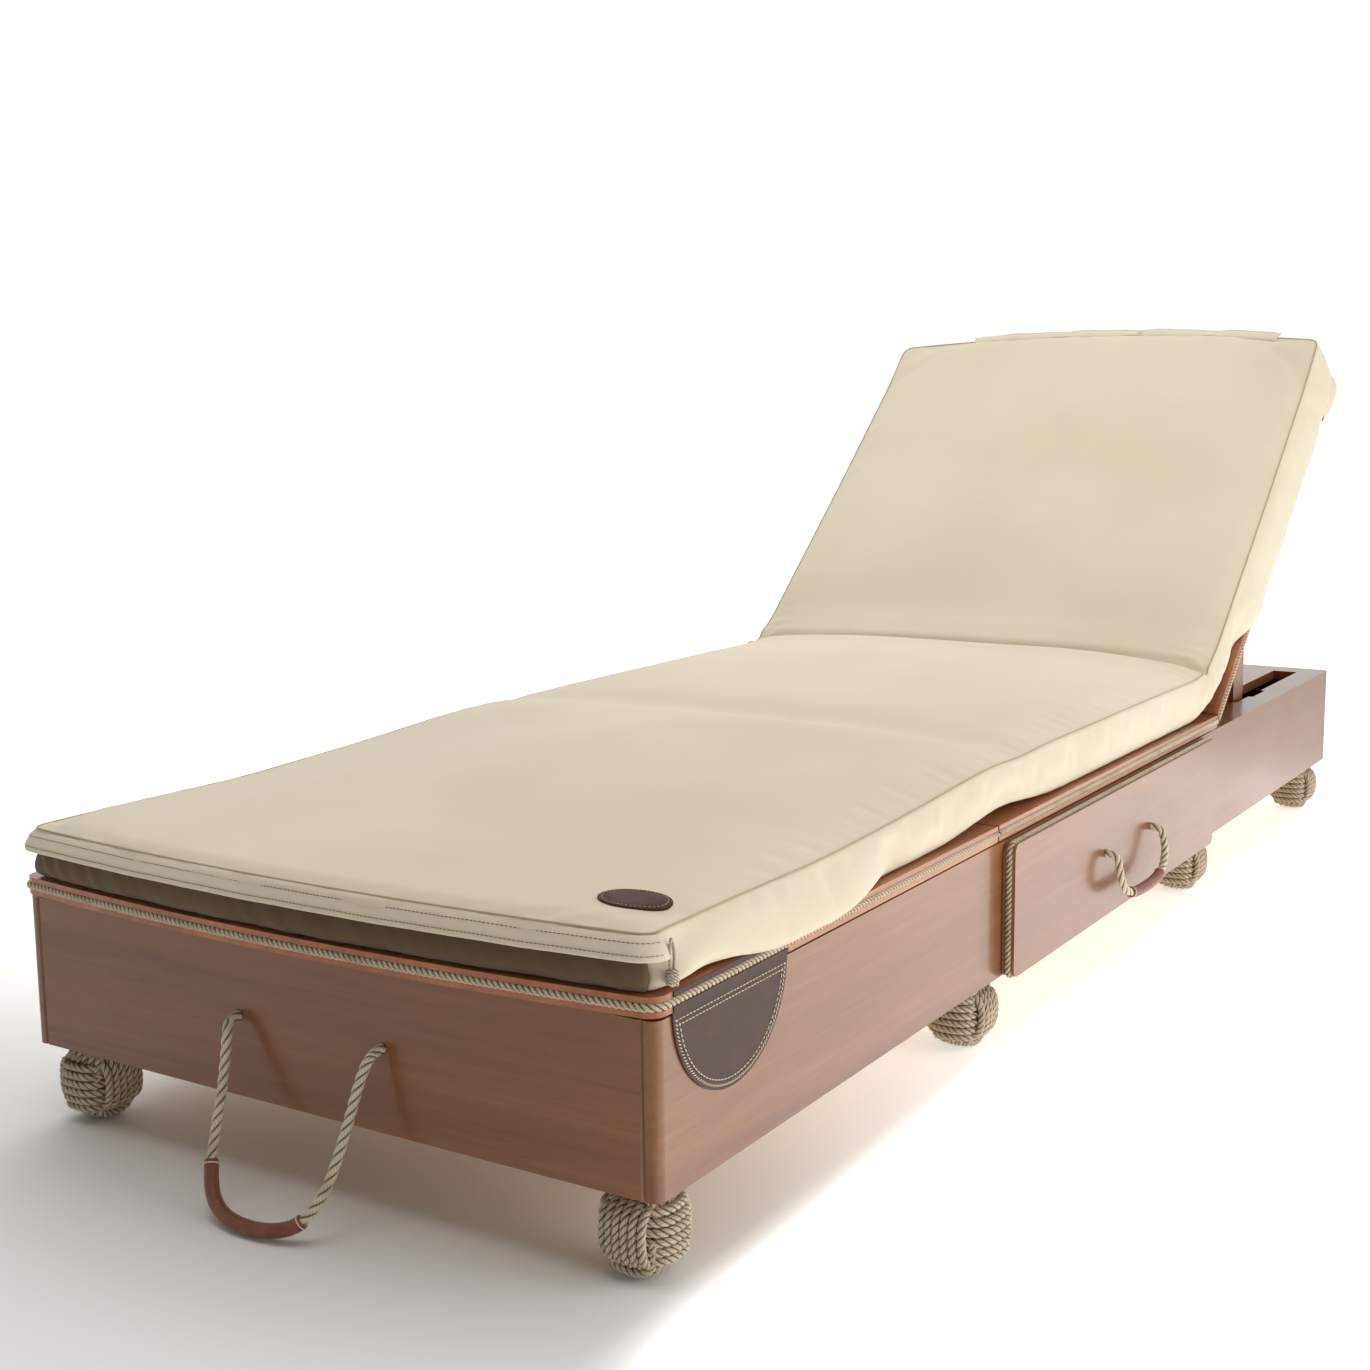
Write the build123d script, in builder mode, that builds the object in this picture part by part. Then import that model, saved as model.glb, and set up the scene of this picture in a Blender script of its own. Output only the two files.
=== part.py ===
from build123d import *
from math import cos, radians, sin, sqrt, tan
import os

os.makedirs("parts", exist_ok=True)

# Box: two side boards, two end boards between them and a bottom board
box_width = 750
box_length = 2090
box_height = 152.5
side_thickness = 15
end_thickness = 18
bottom_thickness = 12
corner_radius = 10
joint_chamfer = 2
block_side = 30
overrun = 5

# Feet: rope knots under the box, each on a dowel
foot_height = 82.5
foot_diameter = 76
foot_sides = 12
foot_level_shares = [(0, 0.45), (0.1, 0.74), (0.28, 0.95), (0.48, 1), (0.7, 0.95), (0.88, 0.84), (1, 0.7)]
foot_inset = 42
joint_foot_offset = 6.5
hinge_foot_offset = 22
dowel_diameter = 20
dowel_depth = 48
dowel_gap = 0.1
dowel_sides = 8

# Deck panels with a rope set in a groove round their edges
panel_thickness = 17.5
panel_lift = 3
panel_overhang = 2
panel_corner = 16
panel_bow = 22
panel_joint = 4
panel_joint_y = 671
edge_rope_diameter = 8
edge_rope_proud = 3
rope_fit = 0.15
rope_sides = 6

# Cross rails under the panels, and the low rear deck with its two slots
rail_width = 40
rail_height = 25
deck_thickness = 15
deck_start = 6
ledge_width = 15
ledge_height = 15
slot_edge = 44.5
slot_width = 39
slot_clearance = 4
notch_lead = 23
notch_trail = 45
notch_depth = 7

# Backrest, hinged behind the middle panel, and its two butt hinges
backrest_angle = 40.5
backrest_length = 760
backrest_start = 10
hinge_y = 1460
hinge_panel_gap = 5
hinge_x = 230
hinge_length = 70
knuckle_diameter = 7
hinge_pin_diameter = 3.5
leaf_thickness = 2
fixed_leaf_height = 24
moving_leaf_width = 38
knuckle_gap = 0.3
pin_gap = 0.05
pin_sides = 12

# Prop arms under the backrest, their brackets and the cradles that their feet stand in
pivot_along = 320
pivot_drop = 27
arm_width = 50
arm_thickness = 26
arm_reach = 258
arm_gap = 0.3
cheek_thickness = 4
cheek_radius = 13
cheek_length = 56
flange_width = 18
flange_thickness = 2.2
prop_pin_diameter = 8
prop_head_diameter = 15
prop_head_thickness = 3.5
cradle_slope = 30
cradle_gap = 0.4
cradle_wall = 14
cradle_lip = 22
cradle_width = 34

# Drawer in the right side, on runners between two dividers
drawer_front_y = 688
drawer_hinge_space = 55
drawer_front_drop = 1
drawer_front_top = 3
drawer_front_thickness = 14.5
drawer_front_gap = 0.5
drawer_front_corner = 10
drawer_lap = 15
drawer_opening_head = 30
drawer_rear_space = 135.5
drawer_wall = 12
drawer_bottom_thickness = 6
drawer_clearance = 5
slide_gap = 13
slide_running_gap = 0.5
slide_height = 35
slide_inset = 18
slide_short = 80
divider_thickness = 12

# Rope pulls through the front board and the drawer front
pull_rope_diameter = 10
pull_fit = 0.2
pull_height = 161
front_pull_spacing = 174
drawer_pull_spacing = 163.2
drawer_pull_offset = 7.8
sleeve_diameter = 13.5
sleeve_fit = 0.15
knot_diameter = 22
knot_level_shares = [(0, 0.65), (0.25, 1), (0.65, 1), (0.95, 0.5)]
knot_sides = 8
run_share = 0.45

# Leather flap on the right side
flap_front_y = 21
flap_rear_y = 206
flap_depth = 90
flap_thickness = 1.8
flap_top_gap = 0.5
edging_thickness = 1.2

# Cushions: a station's place is a share of the seat's or the backrest's length, and its seam and crown
# heights are shares of the crown's greatest height
cushion_crown = 84
cushion_inset = 5
cushion_lift = 0.3
cushion_bulge = 5
cushion_tuck = 4
cushion_corner = 24
cushion_overlap = 40
mitre_gap = 0.4
seat_station_shares = [
    (-0.02, 0.56, 0.57), (0.2, 0.56, 0.76), (0.4, 0.68, 0.95), (0.525, 0.77, 0.94), (0.67, 0.77, 1),
    (0.945, 0.74, 1), (1.03, 0.71, 0.95)]
back_station_shares = [
    (-0.055, 0.69, 0.74), (0.145, 0.69, 0.76), (0.53, 0.69, 0.79), (0.84, 0.74, 0.86), (1.04, 0.95, 1)]
head_overhang = 5
seat_front_inset = 3
patch_inset = 59
patch_y = 64
patch_half_length = 34
patch_half_width = 24
patch_thickness = 1.6
zip_flap_top = 46
zip_flap_height = 24
zip_flap_thickness = 2
zip_flap_gap = 0.3

# Pull of the zip: a whipped knot on a short loop
zip_pull_diameter = 8
zip_pull_length = 16
zip_pull_drop = 17
zip_pull_loop = 3
zip_pull_gap = 0.3
pull_level_shares = [(0, 0.6), (0.2, 1), (0.8, 1), (1, 0.6)]

# Pocket that holds the cushion on the head end of the backrest, and its small tag
pocket_length = 98
pocket_wall = 3.5
pocket_back = 13
pocket_gap = 0.5
tag_width = 14
tag_height = 9
tag_thickness = 1.2
tag_x = 10

# The frame's origin is the middle of the whole lounger's footprint, on the floor
side_reach = box_width / 2 + panel_overhang + edge_rope_proud + pocket_gap + pocket_wall
drawer_reach = box_width / 2 + drawer_front_gap + drawer_front_thickness
front_reach = panel_overhang + panel_bow + edge_rope_proud
mid_x = (side_reach - drawer_reach) / 2
front_y = (front_reach - box_length) / 2

# Levels above the floor
box_bottom = foot_height
box_top = box_bottom + box_height
floor_top = box_bottom + bottom_thickness
panel_bottom = box_top + panel_lift
panel_top = panel_bottom + panel_thickness
rail_bottom = panel_bottom - rail_height
deck_bottom = box_top - deck_thickness
inner_half = box_width / 2 - side_thickness
slot_x = inner_half - slot_edge
rope_radius = edge_rope_diameter / 2
rope_inset = rope_radius - edge_rope_proud
panel_half = box_width / 2 + panel_overhang

# Working planes: across and along the box from above, from its right side and from its front
plan = Plane((mid_x, front_y, 0))
side = Plane((mid_x, front_y, 0), x_dir=(0, 1, 0), z_dir=(1, 0, 0))
face = Plane((mid_x, front_y, 0), x_dir=(1, 0, 0), z_dir=(0, -1, 0))

# The same for the tilted backrest, from its hinge line: above it and from its right side
tilt = radians(backrest_angle)
hinge_point = (mid_x, front_y + hinge_y, panel_bottom)
back_plan = Plane(hinge_point, x_dir=(1, 0, 0), z_dir=(0, -sin(tilt), cos(tilt)))
back_side = Plane(hinge_point, x_dir=(0, cos(tilt), sin(tilt)), z_dir=(1, 0, 0))
# Seen with the head end in front, as the foot panel is
head_plan = Plane(hinge_point, x_dir=(-1, 0, 0), z_dir=(0, -sin(tilt), cos(tilt)))

# Pivots of the prop arms at rest
pivot_y = hinge_y + pivot_along * cos(tilt) + pivot_drop * sin(tilt)
pivot_z = panel_bottom + pivot_along * sin(tilt) - pivot_drop * cos(tilt)


def bow_shape(half_width, front, rise, corner):
    """Centres of a bowed front's arc and of its right corner, and the turn from the side to the bow."""
    bow_radius = (half_width**2 + rise**2) / (2 * rise)
    bow_centre = Vector(0, front - rise + bow_radius)
    corner_centre = Vector(
        half_width - corner, bow_centre.Y - sqrt((bow_radius - corner)**2 - (half_width - corner)**2))
    turn = Vector(1, 0).get_angle(corner_centre - bow_centre)
    return bow_centre, corner_centre, turn


def bowed_slab(plane, half_width, rear, front, rise, corner, thickness, mode=Mode.ADD):
    """A slab whose front edge is bowed and whose front corners are round, standing on a plane."""
    bow_centre, corner_centre, turn = bow_shape(half_width, front, rise, corner)
    start = Vector(half_width, corner_centre.Y)
    middle = corner_centre + Vector(corner, 0).rotate(Axis.Z, -turn / 2)
    tip = corner_centre + Vector(corner, 0).rotate(Axis.Z, -turn)
    with BuildSketch(plane, mode=Mode.PRIVATE) as outline:
        with BuildLine():
            Line((half_width, rear), start)
            ThreePointArc(start, middle, tip)
            ThreePointArc(tip, (0, front - rise), (-tip.X, tip.Y))
            ThreePointArc((-tip.X, tip.Y), (-middle.X, middle.Y), (-start.X, start.Y))
            Polyline((-start.X, start.Y), (-half_width, rear), (half_width, rear))
        make_face()
    extrude(outline.sketch, amount=thickness, mode=mode)


def rope_section(plane, point, direction, radius):
    """A rope's many-sided section at a point of a plane, facing along a direction in that plane."""
    normal = plane.x_dir * direction.X + plane.y_dir * direction.Y
    cut = Plane(plane.from_local_coords(point), x_dir=plane.z_dir, z_dir=normal)
    with BuildSketch(cut, mode=Mode.PRIVATE) as section:
        RegularPolygon(radius, rope_sides, rotation=180 / rope_sides)
    return section.sketch


def rope_straight(plane, start, end, radius, mode=Mode.ADD):
    """A straight stretch of rope, or of its groove."""
    run = end - start
    extrude(rope_section(plane, start, run.normalized(), radius), amount=run.length, mode=mode)


def rope_bend(plane, centre, start, turn, radius, mode=Mode.ADD):
    """A bend of rope, or of its groove, clockwise round a centre."""
    direction = (start - centre).normalized().rotate(Axis.Z, -90)
    axis = Axis(plane.from_local_coords(centre), -plane.z_dir)
    revolve(rope_section(plane, start, direction, radius), axis=axis, revolution_arc=turn, mode=mode)


def rope_along(plane, half_width, rear, front, rise, corner, radius, mode=Mode.ADD):
    """A rope, or the groove for it, up one side, round the bowed front and down the other side."""
    bow_centre, corner_centre, turn = bow_shape(half_width, front, rise, corner)
    tip = corner_centre + Vector(corner, 0).rotate(Axis.Z, -turn)
    left_centre = Vector(-corner_centre.X, corner_centre.Y)
    rope_straight(plane, Vector(half_width, rear), Vector(half_width, corner_centre.Y), radius, mode)
    rope_bend(plane, corner_centre, Vector(half_width, corner_centre.Y), turn, radius, mode)
    rope_bend(plane, bow_centre, tip, 180 - 2 * turn, radius, mode)
    rope_bend(plane, left_centre, Vector(-tip.X, tip.Y), turn, radius, mode)
    rope_straight(plane, Vector(-half_width, corner_centre.Y), Vector(-half_width, rear), radius, mode)


# Front board, with the two holes of its rope pull
with BuildPart() as front_board:
    with BuildSketch(face):
        with Locations((0, box_bottom + box_height / 2)):
            Rectangle(2 * inner_half, box_height)
        with Locations((-front_pull_spacing / 2, pull_height), (front_pull_spacing / 2, pull_height)):
            Circle(pull_rope_diameter / 2 + pull_fit, mode=Mode.SUBTRACT)
    extrude(amount=-end_thickness)
    chamfer(front_board.faces().sort_by(Axis.Y)[0].edges().filter_by(Axis.Z), joint_chamfer)
front_board.part.label = "front_board"
export_step(front_board.part, "parts/front_board.step")

with BuildPart() as rear_board:
    with BuildSketch(face.offset(-box_length)):
        with Locations((0, box_bottom + box_height / 2)):
            Rectangle(2 * inner_half, box_height)
    extrude(amount=end_thickness)
    chamfer(rear_board.faces().sort_by(Axis.Y)[-1].edges().filter_by(Axis.Z), joint_chamfer)
rear_board.part.label = "rear_board"
export_step(rear_board.part, "parts/rear_board.step")


def round_side_board(board, outer):
    """Rounds the outer corners of a side board and chamfers its inner ones for the V grooves."""
    outer_edges = board.faces().sort_by(Axis.X)[outer].edges().filter_by(Axis.Z).sort_by(Axis.Y)
    fillet([outer_edges[0], outer_edges[-1]], corner_radius)
    inner_edges = board.faces().sort_by(Axis.X)[-1 - outer].edges().filter_by(Axis.Z).sort_by(Axis.Y)
    chamfer([inner_edges[0], inner_edges[-1]], joint_chamfer)


with BuildPart() as side_board_left:
    with BuildSketch(side.offset(-box_width / 2)):
        with Locations((box_length / 2, box_bottom + box_height / 2)):
            Rectangle(box_length, box_height)
    extrude(amount=side_thickness)
    round_side_board(side_board_left, 0)
side_board_left.part.label = "side_board_left"
export_step(side_board_left.part, "parts/side_board_left.step")

# Right side board, with the opening that the drawer slides through
drawer_rear_y = hinge_y - drawer_hinge_space
opening_front_y = drawer_front_y + drawer_lap
opening_rear_y = drawer_rear_y - drawer_lap
opening_top = box_top - drawer_opening_head
with BuildPart() as side_board_right:
    with BuildSketch(side.offset(inner_half)):
        with Locations((box_length / 2, box_bottom + box_height / 2)):
            Rectangle(box_length, box_height)
        with Locations(((opening_front_y + opening_rear_y) / 2, (floor_top + opening_top) / 2)):
            Rectangle(opening_rear_y - opening_front_y, opening_top - floor_top, mode=Mode.SUBTRACT)
    extrude(amount=side_thickness)
    round_side_board(side_board_right, -1)
side_board_right.part.label = "side_board_right"
export_step(side_board_right.part, "parts/side_board_right.step")

# Feet stand in four pairs
foot_rows = [
    foot_inset, panel_joint_y + joint_foot_offset, hinge_y - hinge_foot_offset, box_length - foot_inset]
foot_x = box_width / 2 - foot_inset
foot_places = [(x, y) for y in foot_rows for x in (-foot_x, foot_x)]

with BuildPart() as bottom_board:
    with BuildSketch(plan.offset(box_bottom)):
        with Locations((0, box_length / 2)):
            Rectangle(2 * inner_half, box_length - 2 * end_thickness)
        with Locations(*foot_places):
            RegularPolygon(dowel_diameter / 2 + dowel_gap, dowel_sides, mode=Mode.SUBTRACT)
    extrude(amount=bottom_thickness)
bottom_board.part.label = "bottom_board"
export_step(bottom_board.part, "parts/bottom_board.step")


def faceted_ball(centre, upward, diameter, height, level_shares, sides):
    """A many-sided bulged drum with flat ends: one upright profile, cut through from every side."""
    outline = [(width * diameter / 2, level * height) for level, width in level_shares]
    outline += [(-x, y) for x, y in reversed(outline)]
    first_way = Plane(centre, z_dir=upward).x_dir
    for turn in range(sides // 2):
        way = first_way.rotate(Axis(centre, upward), turn * 360 / sides)
        with BuildSketch(Plane(centre, x_dir=way, z_dir=way.cross(upward)), mode=Mode.PRIVATE) as profile:
            with BuildLine():
                Polyline(*outline, close=True)
            make_face()
        extrude(profile.sketch, amount=diameter, both=True, mode=Mode.INTERSECT if turn else Mode.ADD)


foot_names = ["front", "middle", "hinge", "rear"]
for row_name, row_y in zip(foot_names, foot_rows):
    for hand, sign in (("left", -1), ("right", 1)):
        # Rope ball, bored for its dowel
        foot_place = Vector(mid_x + sign * foot_x, front_y + row_y)
        with BuildPart() as foot_knot:
            faceted_ball(
                foot_place, Vector(0, 0, 1), foot_diameter, foot_height, foot_level_shares, foot_sides)
            with BuildSketch(plan.offset(foot_height)):
                with Locations((sign * foot_x, row_y)):
                    RegularPolygon(dowel_diameter / 2 + dowel_gap, dowel_sides)
            extrude(amount=-dowel_depth, mode=Mode.SUBTRACT)
        foot_name = "foot_knot_" + row_name + "_" + hand
        foot_knot.part.label = foot_name
        export_step(foot_knot.part, "parts/" + foot_name + ".step")

with BuildPart() as foot_dowels:
    with BuildSketch(plan.offset(foot_height - dowel_depth + dowel_gap)):
        with Locations(*foot_places):
            RegularPolygon(dowel_diameter / 2, dowel_sides)
    extrude(amount=dowel_depth - dowel_gap + bottom_thickness)
foot_dowels.part.label = "foot_dowels"
export_step(foot_dowels.part, "parts/foot_dowels.step")

# Blocks in the corners, under the first rail in front and under the rear deck behind
block_x = inner_half - block_side / 2
with BuildPart() as corner_blocks:
    with BuildSketch(plan.offset(floor_top)):
        with Locations((-block_x, end_thickness + block_side / 2), (block_x, end_thickness + block_side / 2)):
            Rectangle(block_side, block_side)
        with Locations(*foot_places[:2]):
            RegularPolygon(dowel_diameter / 2 + dowel_gap, dowel_sides, mode=Mode.SUBTRACT)
    extrude(amount=rail_bottom - floor_top)
    with BuildSketch(plan.offset(floor_top)):
        rear_block_y = box_length - end_thickness - block_side / 2
        with Locations((-block_x, rear_block_y), (block_x, rear_block_y)):
            Rectangle(block_side, block_side)
    extrude(amount=deck_bottom - floor_top)
corner_blocks.part.label = "corner_blocks"
export_step(corner_blocks.part, "parts/corner_blocks.step")

# Cross rails carry the panels a little above the side boards
panel_end_y = hinge_y - hinge_panel_gap
hinge_rail_y = hinge_y - knuckle_diameter / 2 - knuckle_gap - leaf_thickness - rail_width / 2
first_rail_y = end_thickness + rail_width / 2
rail_places = [
    first_rail_y, (first_rail_y + panel_joint_y) / 2, panel_joint_y, (panel_joint_y + hinge_rail_y) / 2,
    hinge_rail_y]
with BuildPart() as cross_rails:
    with BuildSketch(plan.offset(rail_bottom)):
        with Locations(*[(0, y) for y in rail_places]):
            Rectangle(2 * inner_half, rail_width)
    extrude(amount=rail_height)
cross_rails.part.label = "cross_rails"
export_step(cross_rails.part, "parts/cross_rails.step")

with BuildPart() as foot_deck_panel:
    foot_panel_end = panel_joint_y - panel_joint / 2
    bowed_slab(
        plan.offset(panel_bottom), panel_half, foot_panel_end, -panel_overhang, panel_bow, panel_corner,
        panel_thickness)
    rope_along(
        plan.offset(panel_bottom + panel_thickness / 2), panel_half - rope_inset, foot_panel_end + overrun,
        rope_inset - panel_overhang, panel_bow, panel_corner - rope_inset, rope_radius + rope_fit,
        mode=Mode.SUBTRACT)
foot_deck_panel.part.label = "foot_deck_panel"
export_step(foot_deck_panel.part, "parts/foot_deck_panel.step")

with BuildPart() as foot_deck_rope:
    rope_along(
        plan.offset(panel_bottom + panel_thickness / 2), panel_half - rope_inset, foot_panel_end,
        rope_inset - panel_overhang, panel_bow, panel_corner - rope_inset, rope_radius)
foot_deck_rope.part.label = "foot_deck_rope"
export_step(foot_deck_rope.part, "parts/foot_deck_rope.step")

# The middle panel has a straight rope along each side
middle_start = panel_joint_y + panel_joint / 2
rope_x = panel_half - rope_inset
rope_spots = [(x, panel_bottom + panel_thickness / 2) for x in (-rope_x, rope_x)]
with BuildPart() as middle_deck_panel:
    with BuildSketch(plan.offset(panel_bottom)):
        with Locations((0, (middle_start + panel_end_y) / 2)):
            Rectangle(2 * panel_half, panel_end_y - middle_start)
    extrude(amount=panel_thickness)
    with BuildSketch(face.offset(-middle_start)):
        with Locations(*rope_spots):
            Circle(rope_radius + rope_fit)
    extrude(amount=middle_start - panel_end_y, mode=Mode.SUBTRACT)
middle_deck_panel.part.label = "middle_deck_panel"
export_step(middle_deck_panel.part, "parts/middle_deck_panel.step")

with BuildPart() as middle_deck_ropes:
    with BuildSketch(face.offset(-middle_start)):
        with Locations(*rope_spots):
            Circle(rope_radius)
    extrude(amount=middle_start - panel_end_y)
middle_deck_ropes.part.label = "middle_deck_ropes"
export_step(middle_deck_ropes.part, "parts/middle_deck_ropes.step")

# Low rear deck between the side boards; each slot has a notch that clears the head of its arm's pin
deck_front_y = hinge_y + deck_start
deck_rear_y = box_length - end_thickness
slot_front_y = pivot_y - arm_width / 2 - slot_clearance
slot_rear_y = hinge_y + pivot_along + arm_reach + slot_clearance
slot_length = slot_rear_y - slot_front_y
notch_front_y = hinge_y + pivot_along - notch_lead
notch_rear_y = hinge_y + pivot_along + notch_trail
with BuildPart() as rear_deck:
    with BuildSketch(plan.offset(deck_bottom)):
        with Locations((0, (deck_front_y + deck_rear_y) / 2)):
            Rectangle(2 * inner_half, deck_rear_y - deck_front_y)
        for sign in (-1, 1):
            with Locations((sign * slot_x, (slot_front_y + slot_rear_y) / 2)):
                Rectangle(slot_width, slot_length, mode=Mode.SUBTRACT)
            with Locations((sign * (slot_x + slot_width / 2), (notch_front_y + notch_rear_y) / 2)):
                Rectangle(2 * notch_depth, notch_rear_y - notch_front_y, mode=Mode.SUBTRACT)
    extrude(amount=deck_thickness)
rear_deck.part.label = "rear_deck"
export_step(rear_deck.part, "parts/rear_deck.step")

with BuildPart() as deck_ledges:
    with BuildSketch(plan.offset(deck_bottom - ledge_height)):
        ledge_end = deck_rear_y - block_side
        for sign in (-1, 1):
            with Locations((sign * (inner_half - ledge_width / 2), (deck_front_y + ledge_end) / 2)):
                Rectangle(ledge_width, ledge_end - deck_front_y)
    extrude(amount=ledge_height)
deck_ledges.part.label = "deck_ledges"
export_step(deck_ledges.part, "parts/deck_ledges.step")

# Backrest panel, with the rope round its head end
back_end = backrest_length - panel_bow
with BuildPart() as backrest_panel:
    bowed_slab(
        head_plan, panel_half, -backrest_start, -back_end, panel_bow, panel_corner, panel_thickness)
    rope_along(
        head_plan.offset(panel_thickness / 2), panel_half - rope_inset, overrun - backrest_start,
        rope_inset - back_end, panel_bow, panel_corner - rope_inset, rope_radius + rope_fit,
        mode=Mode.SUBTRACT)
backrest_panel.part.label = "backrest_panel"
export_step(backrest_panel.part, "parts/backrest_panel.step")

with BuildPart() as backrest_rope:
    rope_along(
        head_plan.offset(panel_thickness / 2), panel_half - rope_inset, -backrest_start,
        rope_inset - back_end, panel_bow, panel_corner - rope_inset, rope_radius)
backrest_rope.part.label = "backrest_rope"
export_step(backrest_rope.part, "parts/backrest_rope.step")

# Butt hinges: the fixed leaves stand on the hinge rail's rear face, the moving ones lie under the backrest
knuckle_length = hinge_length / 3
knuckle_radius = knuckle_diameter / 2
bore_radius = hinge_pin_diameter / 2 + pin_gap
with BuildPart() as hinge_leaves_fixed:
    for sign in (-1, 1):
        for share in (-1, 1):
            knuckle_x = sign * hinge_x + share * knuckle_length
            with BuildSketch(side.offset(knuckle_x - knuckle_length / 2 + knuckle_gap / 2)):
                with Locations((hinge_y, panel_bottom)):
                    RegularPolygon(knuckle_radius, pin_sides)
                with Locations(
                        (hinge_y - (knuckle_radius + knuckle_gap) / 2, panel_bottom - knuckle_radius / 2)):
                    Rectangle(knuckle_radius + knuckle_gap, knuckle_radius)
                with Locations((hinge_y, panel_bottom)):
                    RegularPolygon(bore_radius, pin_sides, major_radius=False, mode=Mode.SUBTRACT)
            extrude(amount=knuckle_length - knuckle_gap)
        with BuildSketch(side.offset(sign * hinge_x - hinge_length / 2)):
            with Locations((hinge_y - knuckle_radius - knuckle_gap - leaf_thickness / 2,
                            panel_bottom - fixed_leaf_height / 2)):
                Rectangle(leaf_thickness, fixed_leaf_height)
        extrude(amount=hinge_length)
hinge_leaves_fixed.part.label = "hinge_leaves_fixed"
export_step(hinge_leaves_fixed.part, "parts/hinge_leaves_fixed.step")

with BuildPart() as hinge_leaves_moving:
    for sign in (-1, 1):
        with BuildSketch(back_side.offset(sign * hinge_x - knuckle_length / 2 + knuckle_gap / 2)):
            RegularPolygon(knuckle_radius, pin_sides)
            with Locations((backrest_start / 2, -leaf_thickness / 2)):
                Rectangle(backrest_start, leaf_thickness)
            RegularPolygon(bore_radius, pin_sides, major_radius=False, mode=Mode.SUBTRACT)
        extrude(amount=knuckle_length - knuckle_gap)
        with BuildSketch(back_side.offset(sign * hinge_x - hinge_length / 2)):
            with Locations((backrest_start + moving_leaf_width / 2, -leaf_thickness / 2)):
                Rectangle(moving_leaf_width, leaf_thickness)
        extrude(amount=hinge_length)
hinge_leaves_moving.part.label = "hinge_leaves_moving"
export_step(hinge_leaves_moving.part, "parts/hinge_leaves_moving.step")

with BuildPart() as hinge_pins:
    for sign in (-1, 1):
        with BuildSketch(side.offset(sign * hinge_x - hinge_length / 2)):
            with Locations((hinge_y, panel_bottom)):
                RegularPolygon(hinge_pin_diameter / 2, pin_sides)
        extrude(amount=hinge_length)
hinge_pins.part.label = "hinge_pins"
export_step(hinge_pins.part, "parts/hinge_pins.step")

# Prop brackets: two cheeks for each arm, with flanges thin enough to lie between the backrest and the deck
cheek_place = arm_thickness / 2 + arm_gap
with BuildPart() as prop_brackets:
    for sign in (-1, 1):
        for share in (-1, 1):
            inner_side = sign * slot_x + share * cheek_place
            with BuildSketch(back_side.offset(inner_side)):
                with Locations((pivot_along, -pivot_drop)):
                    Circle(cheek_radius)
                with Locations((pivot_along, -flange_thickness / 2)):
                    Rectangle(cheek_length, flange_thickness)
                make_hull()
                with Locations((pivot_along, -pivot_drop)):
                    RegularPolygon(
                        prop_pin_diameter / 2 + pin_gap, pin_sides, major_radius=False, mode=Mode.SUBTRACT)
            extrude(amount=share * cheek_thickness)
            with BuildSketch(back_side.offset(inner_side)):
                with Locations((pivot_along, -flange_thickness / 2)):
                    Rectangle(cheek_length, flange_thickness)
            extrude(amount=share * (cheek_thickness + flange_width))
prop_brackets.part.label = "prop_brackets"
export_step(prop_brackets.part, "parts/prop_brackets.step")

with BuildPart() as prop_pins:
    for sign in (-1, 1):
        with BuildSketch(back_side.offset(sign * (slot_x - cheek_place - cheek_thickness))):
            with Locations((pivot_along, -pivot_drop)):
                RegularPolygon(prop_pin_diameter / 2, pin_sides)
        extrude(amount=sign * (2 * (cheek_place + cheek_thickness) + arm_gap))
        with BuildSketch(back_side.offset(sign * (slot_x + cheek_place + cheek_thickness + arm_gap))):
            with Locations((pivot_along, -pivot_drop)):
                RegularPolygon(prop_head_diameter / 2, 2 * pin_sides)
        extrude(amount=sign * prop_head_thickness)
prop_pins.part.label = "prop_pins"
export_step(prop_pins.part, "parts/prop_pins.step")

# Prop arms stand upright at rest, with a round foot
arm_end_radius = arm_width / 2
arm_foot_z = pivot_z - arm_reach + arm_end_radius
for hand, sign in (("left", -1), ("right", 1)):
    with BuildPart() as prop_arm:
        with BuildSketch(side.offset(sign * slot_x - arm_thickness / 2)):
            with Locations((pivot_y, (pivot_z + arm_foot_z) / 2)):
                SlotCenterToCenter(pivot_z - arm_foot_z, arm_width, rotation=90)
            with Locations((pivot_y, pivot_z)):
                Circle(prop_pin_diameter / 2 + pin_gap, mode=Mode.SUBTRACT)
        extrude(amount=arm_thickness)
    arm_name = "prop_arm_" + hand
    prop_arm.part.label = arm_name
    export_step(prop_arm.part, "parts/" + arm_name + ".step")

# Cradles: a stop wall in front of each arm's foot and a ramp under its front half
ramp = radians(cradle_slope)
touch = arm_end_radius + cradle_gap
ramp_y = pivot_y - touch * sin(ramp)
ramp_z = arm_foot_z - touch * cos(ramp)
stop_y = pivot_y - touch
with BuildPart() as prop_cradles:
    for sign in (-1, 1):
        with BuildSketch(side.offset(sign * slot_x - cradle_width / 2)):
            with BuildLine():
                Polyline(
                    (stop_y - cradle_wall, floor_top), (stop_y - cradle_wall, arm_foot_z),
                    (stop_y, arm_foot_z), (stop_y, ramp_z + (ramp_y - stop_y) * tan(ramp)),
                    (pivot_y + cradle_lip, ramp_z - (pivot_y + cradle_lip - ramp_y) * tan(ramp)),
                    (pivot_y + cradle_lip, floor_top), close=True)
            make_face()
        extrude(amount=cradle_width)
prop_cradles.part.label = "prop_cradles"
export_step(prop_cradles.part, "parts/prop_cradles.step")

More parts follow.
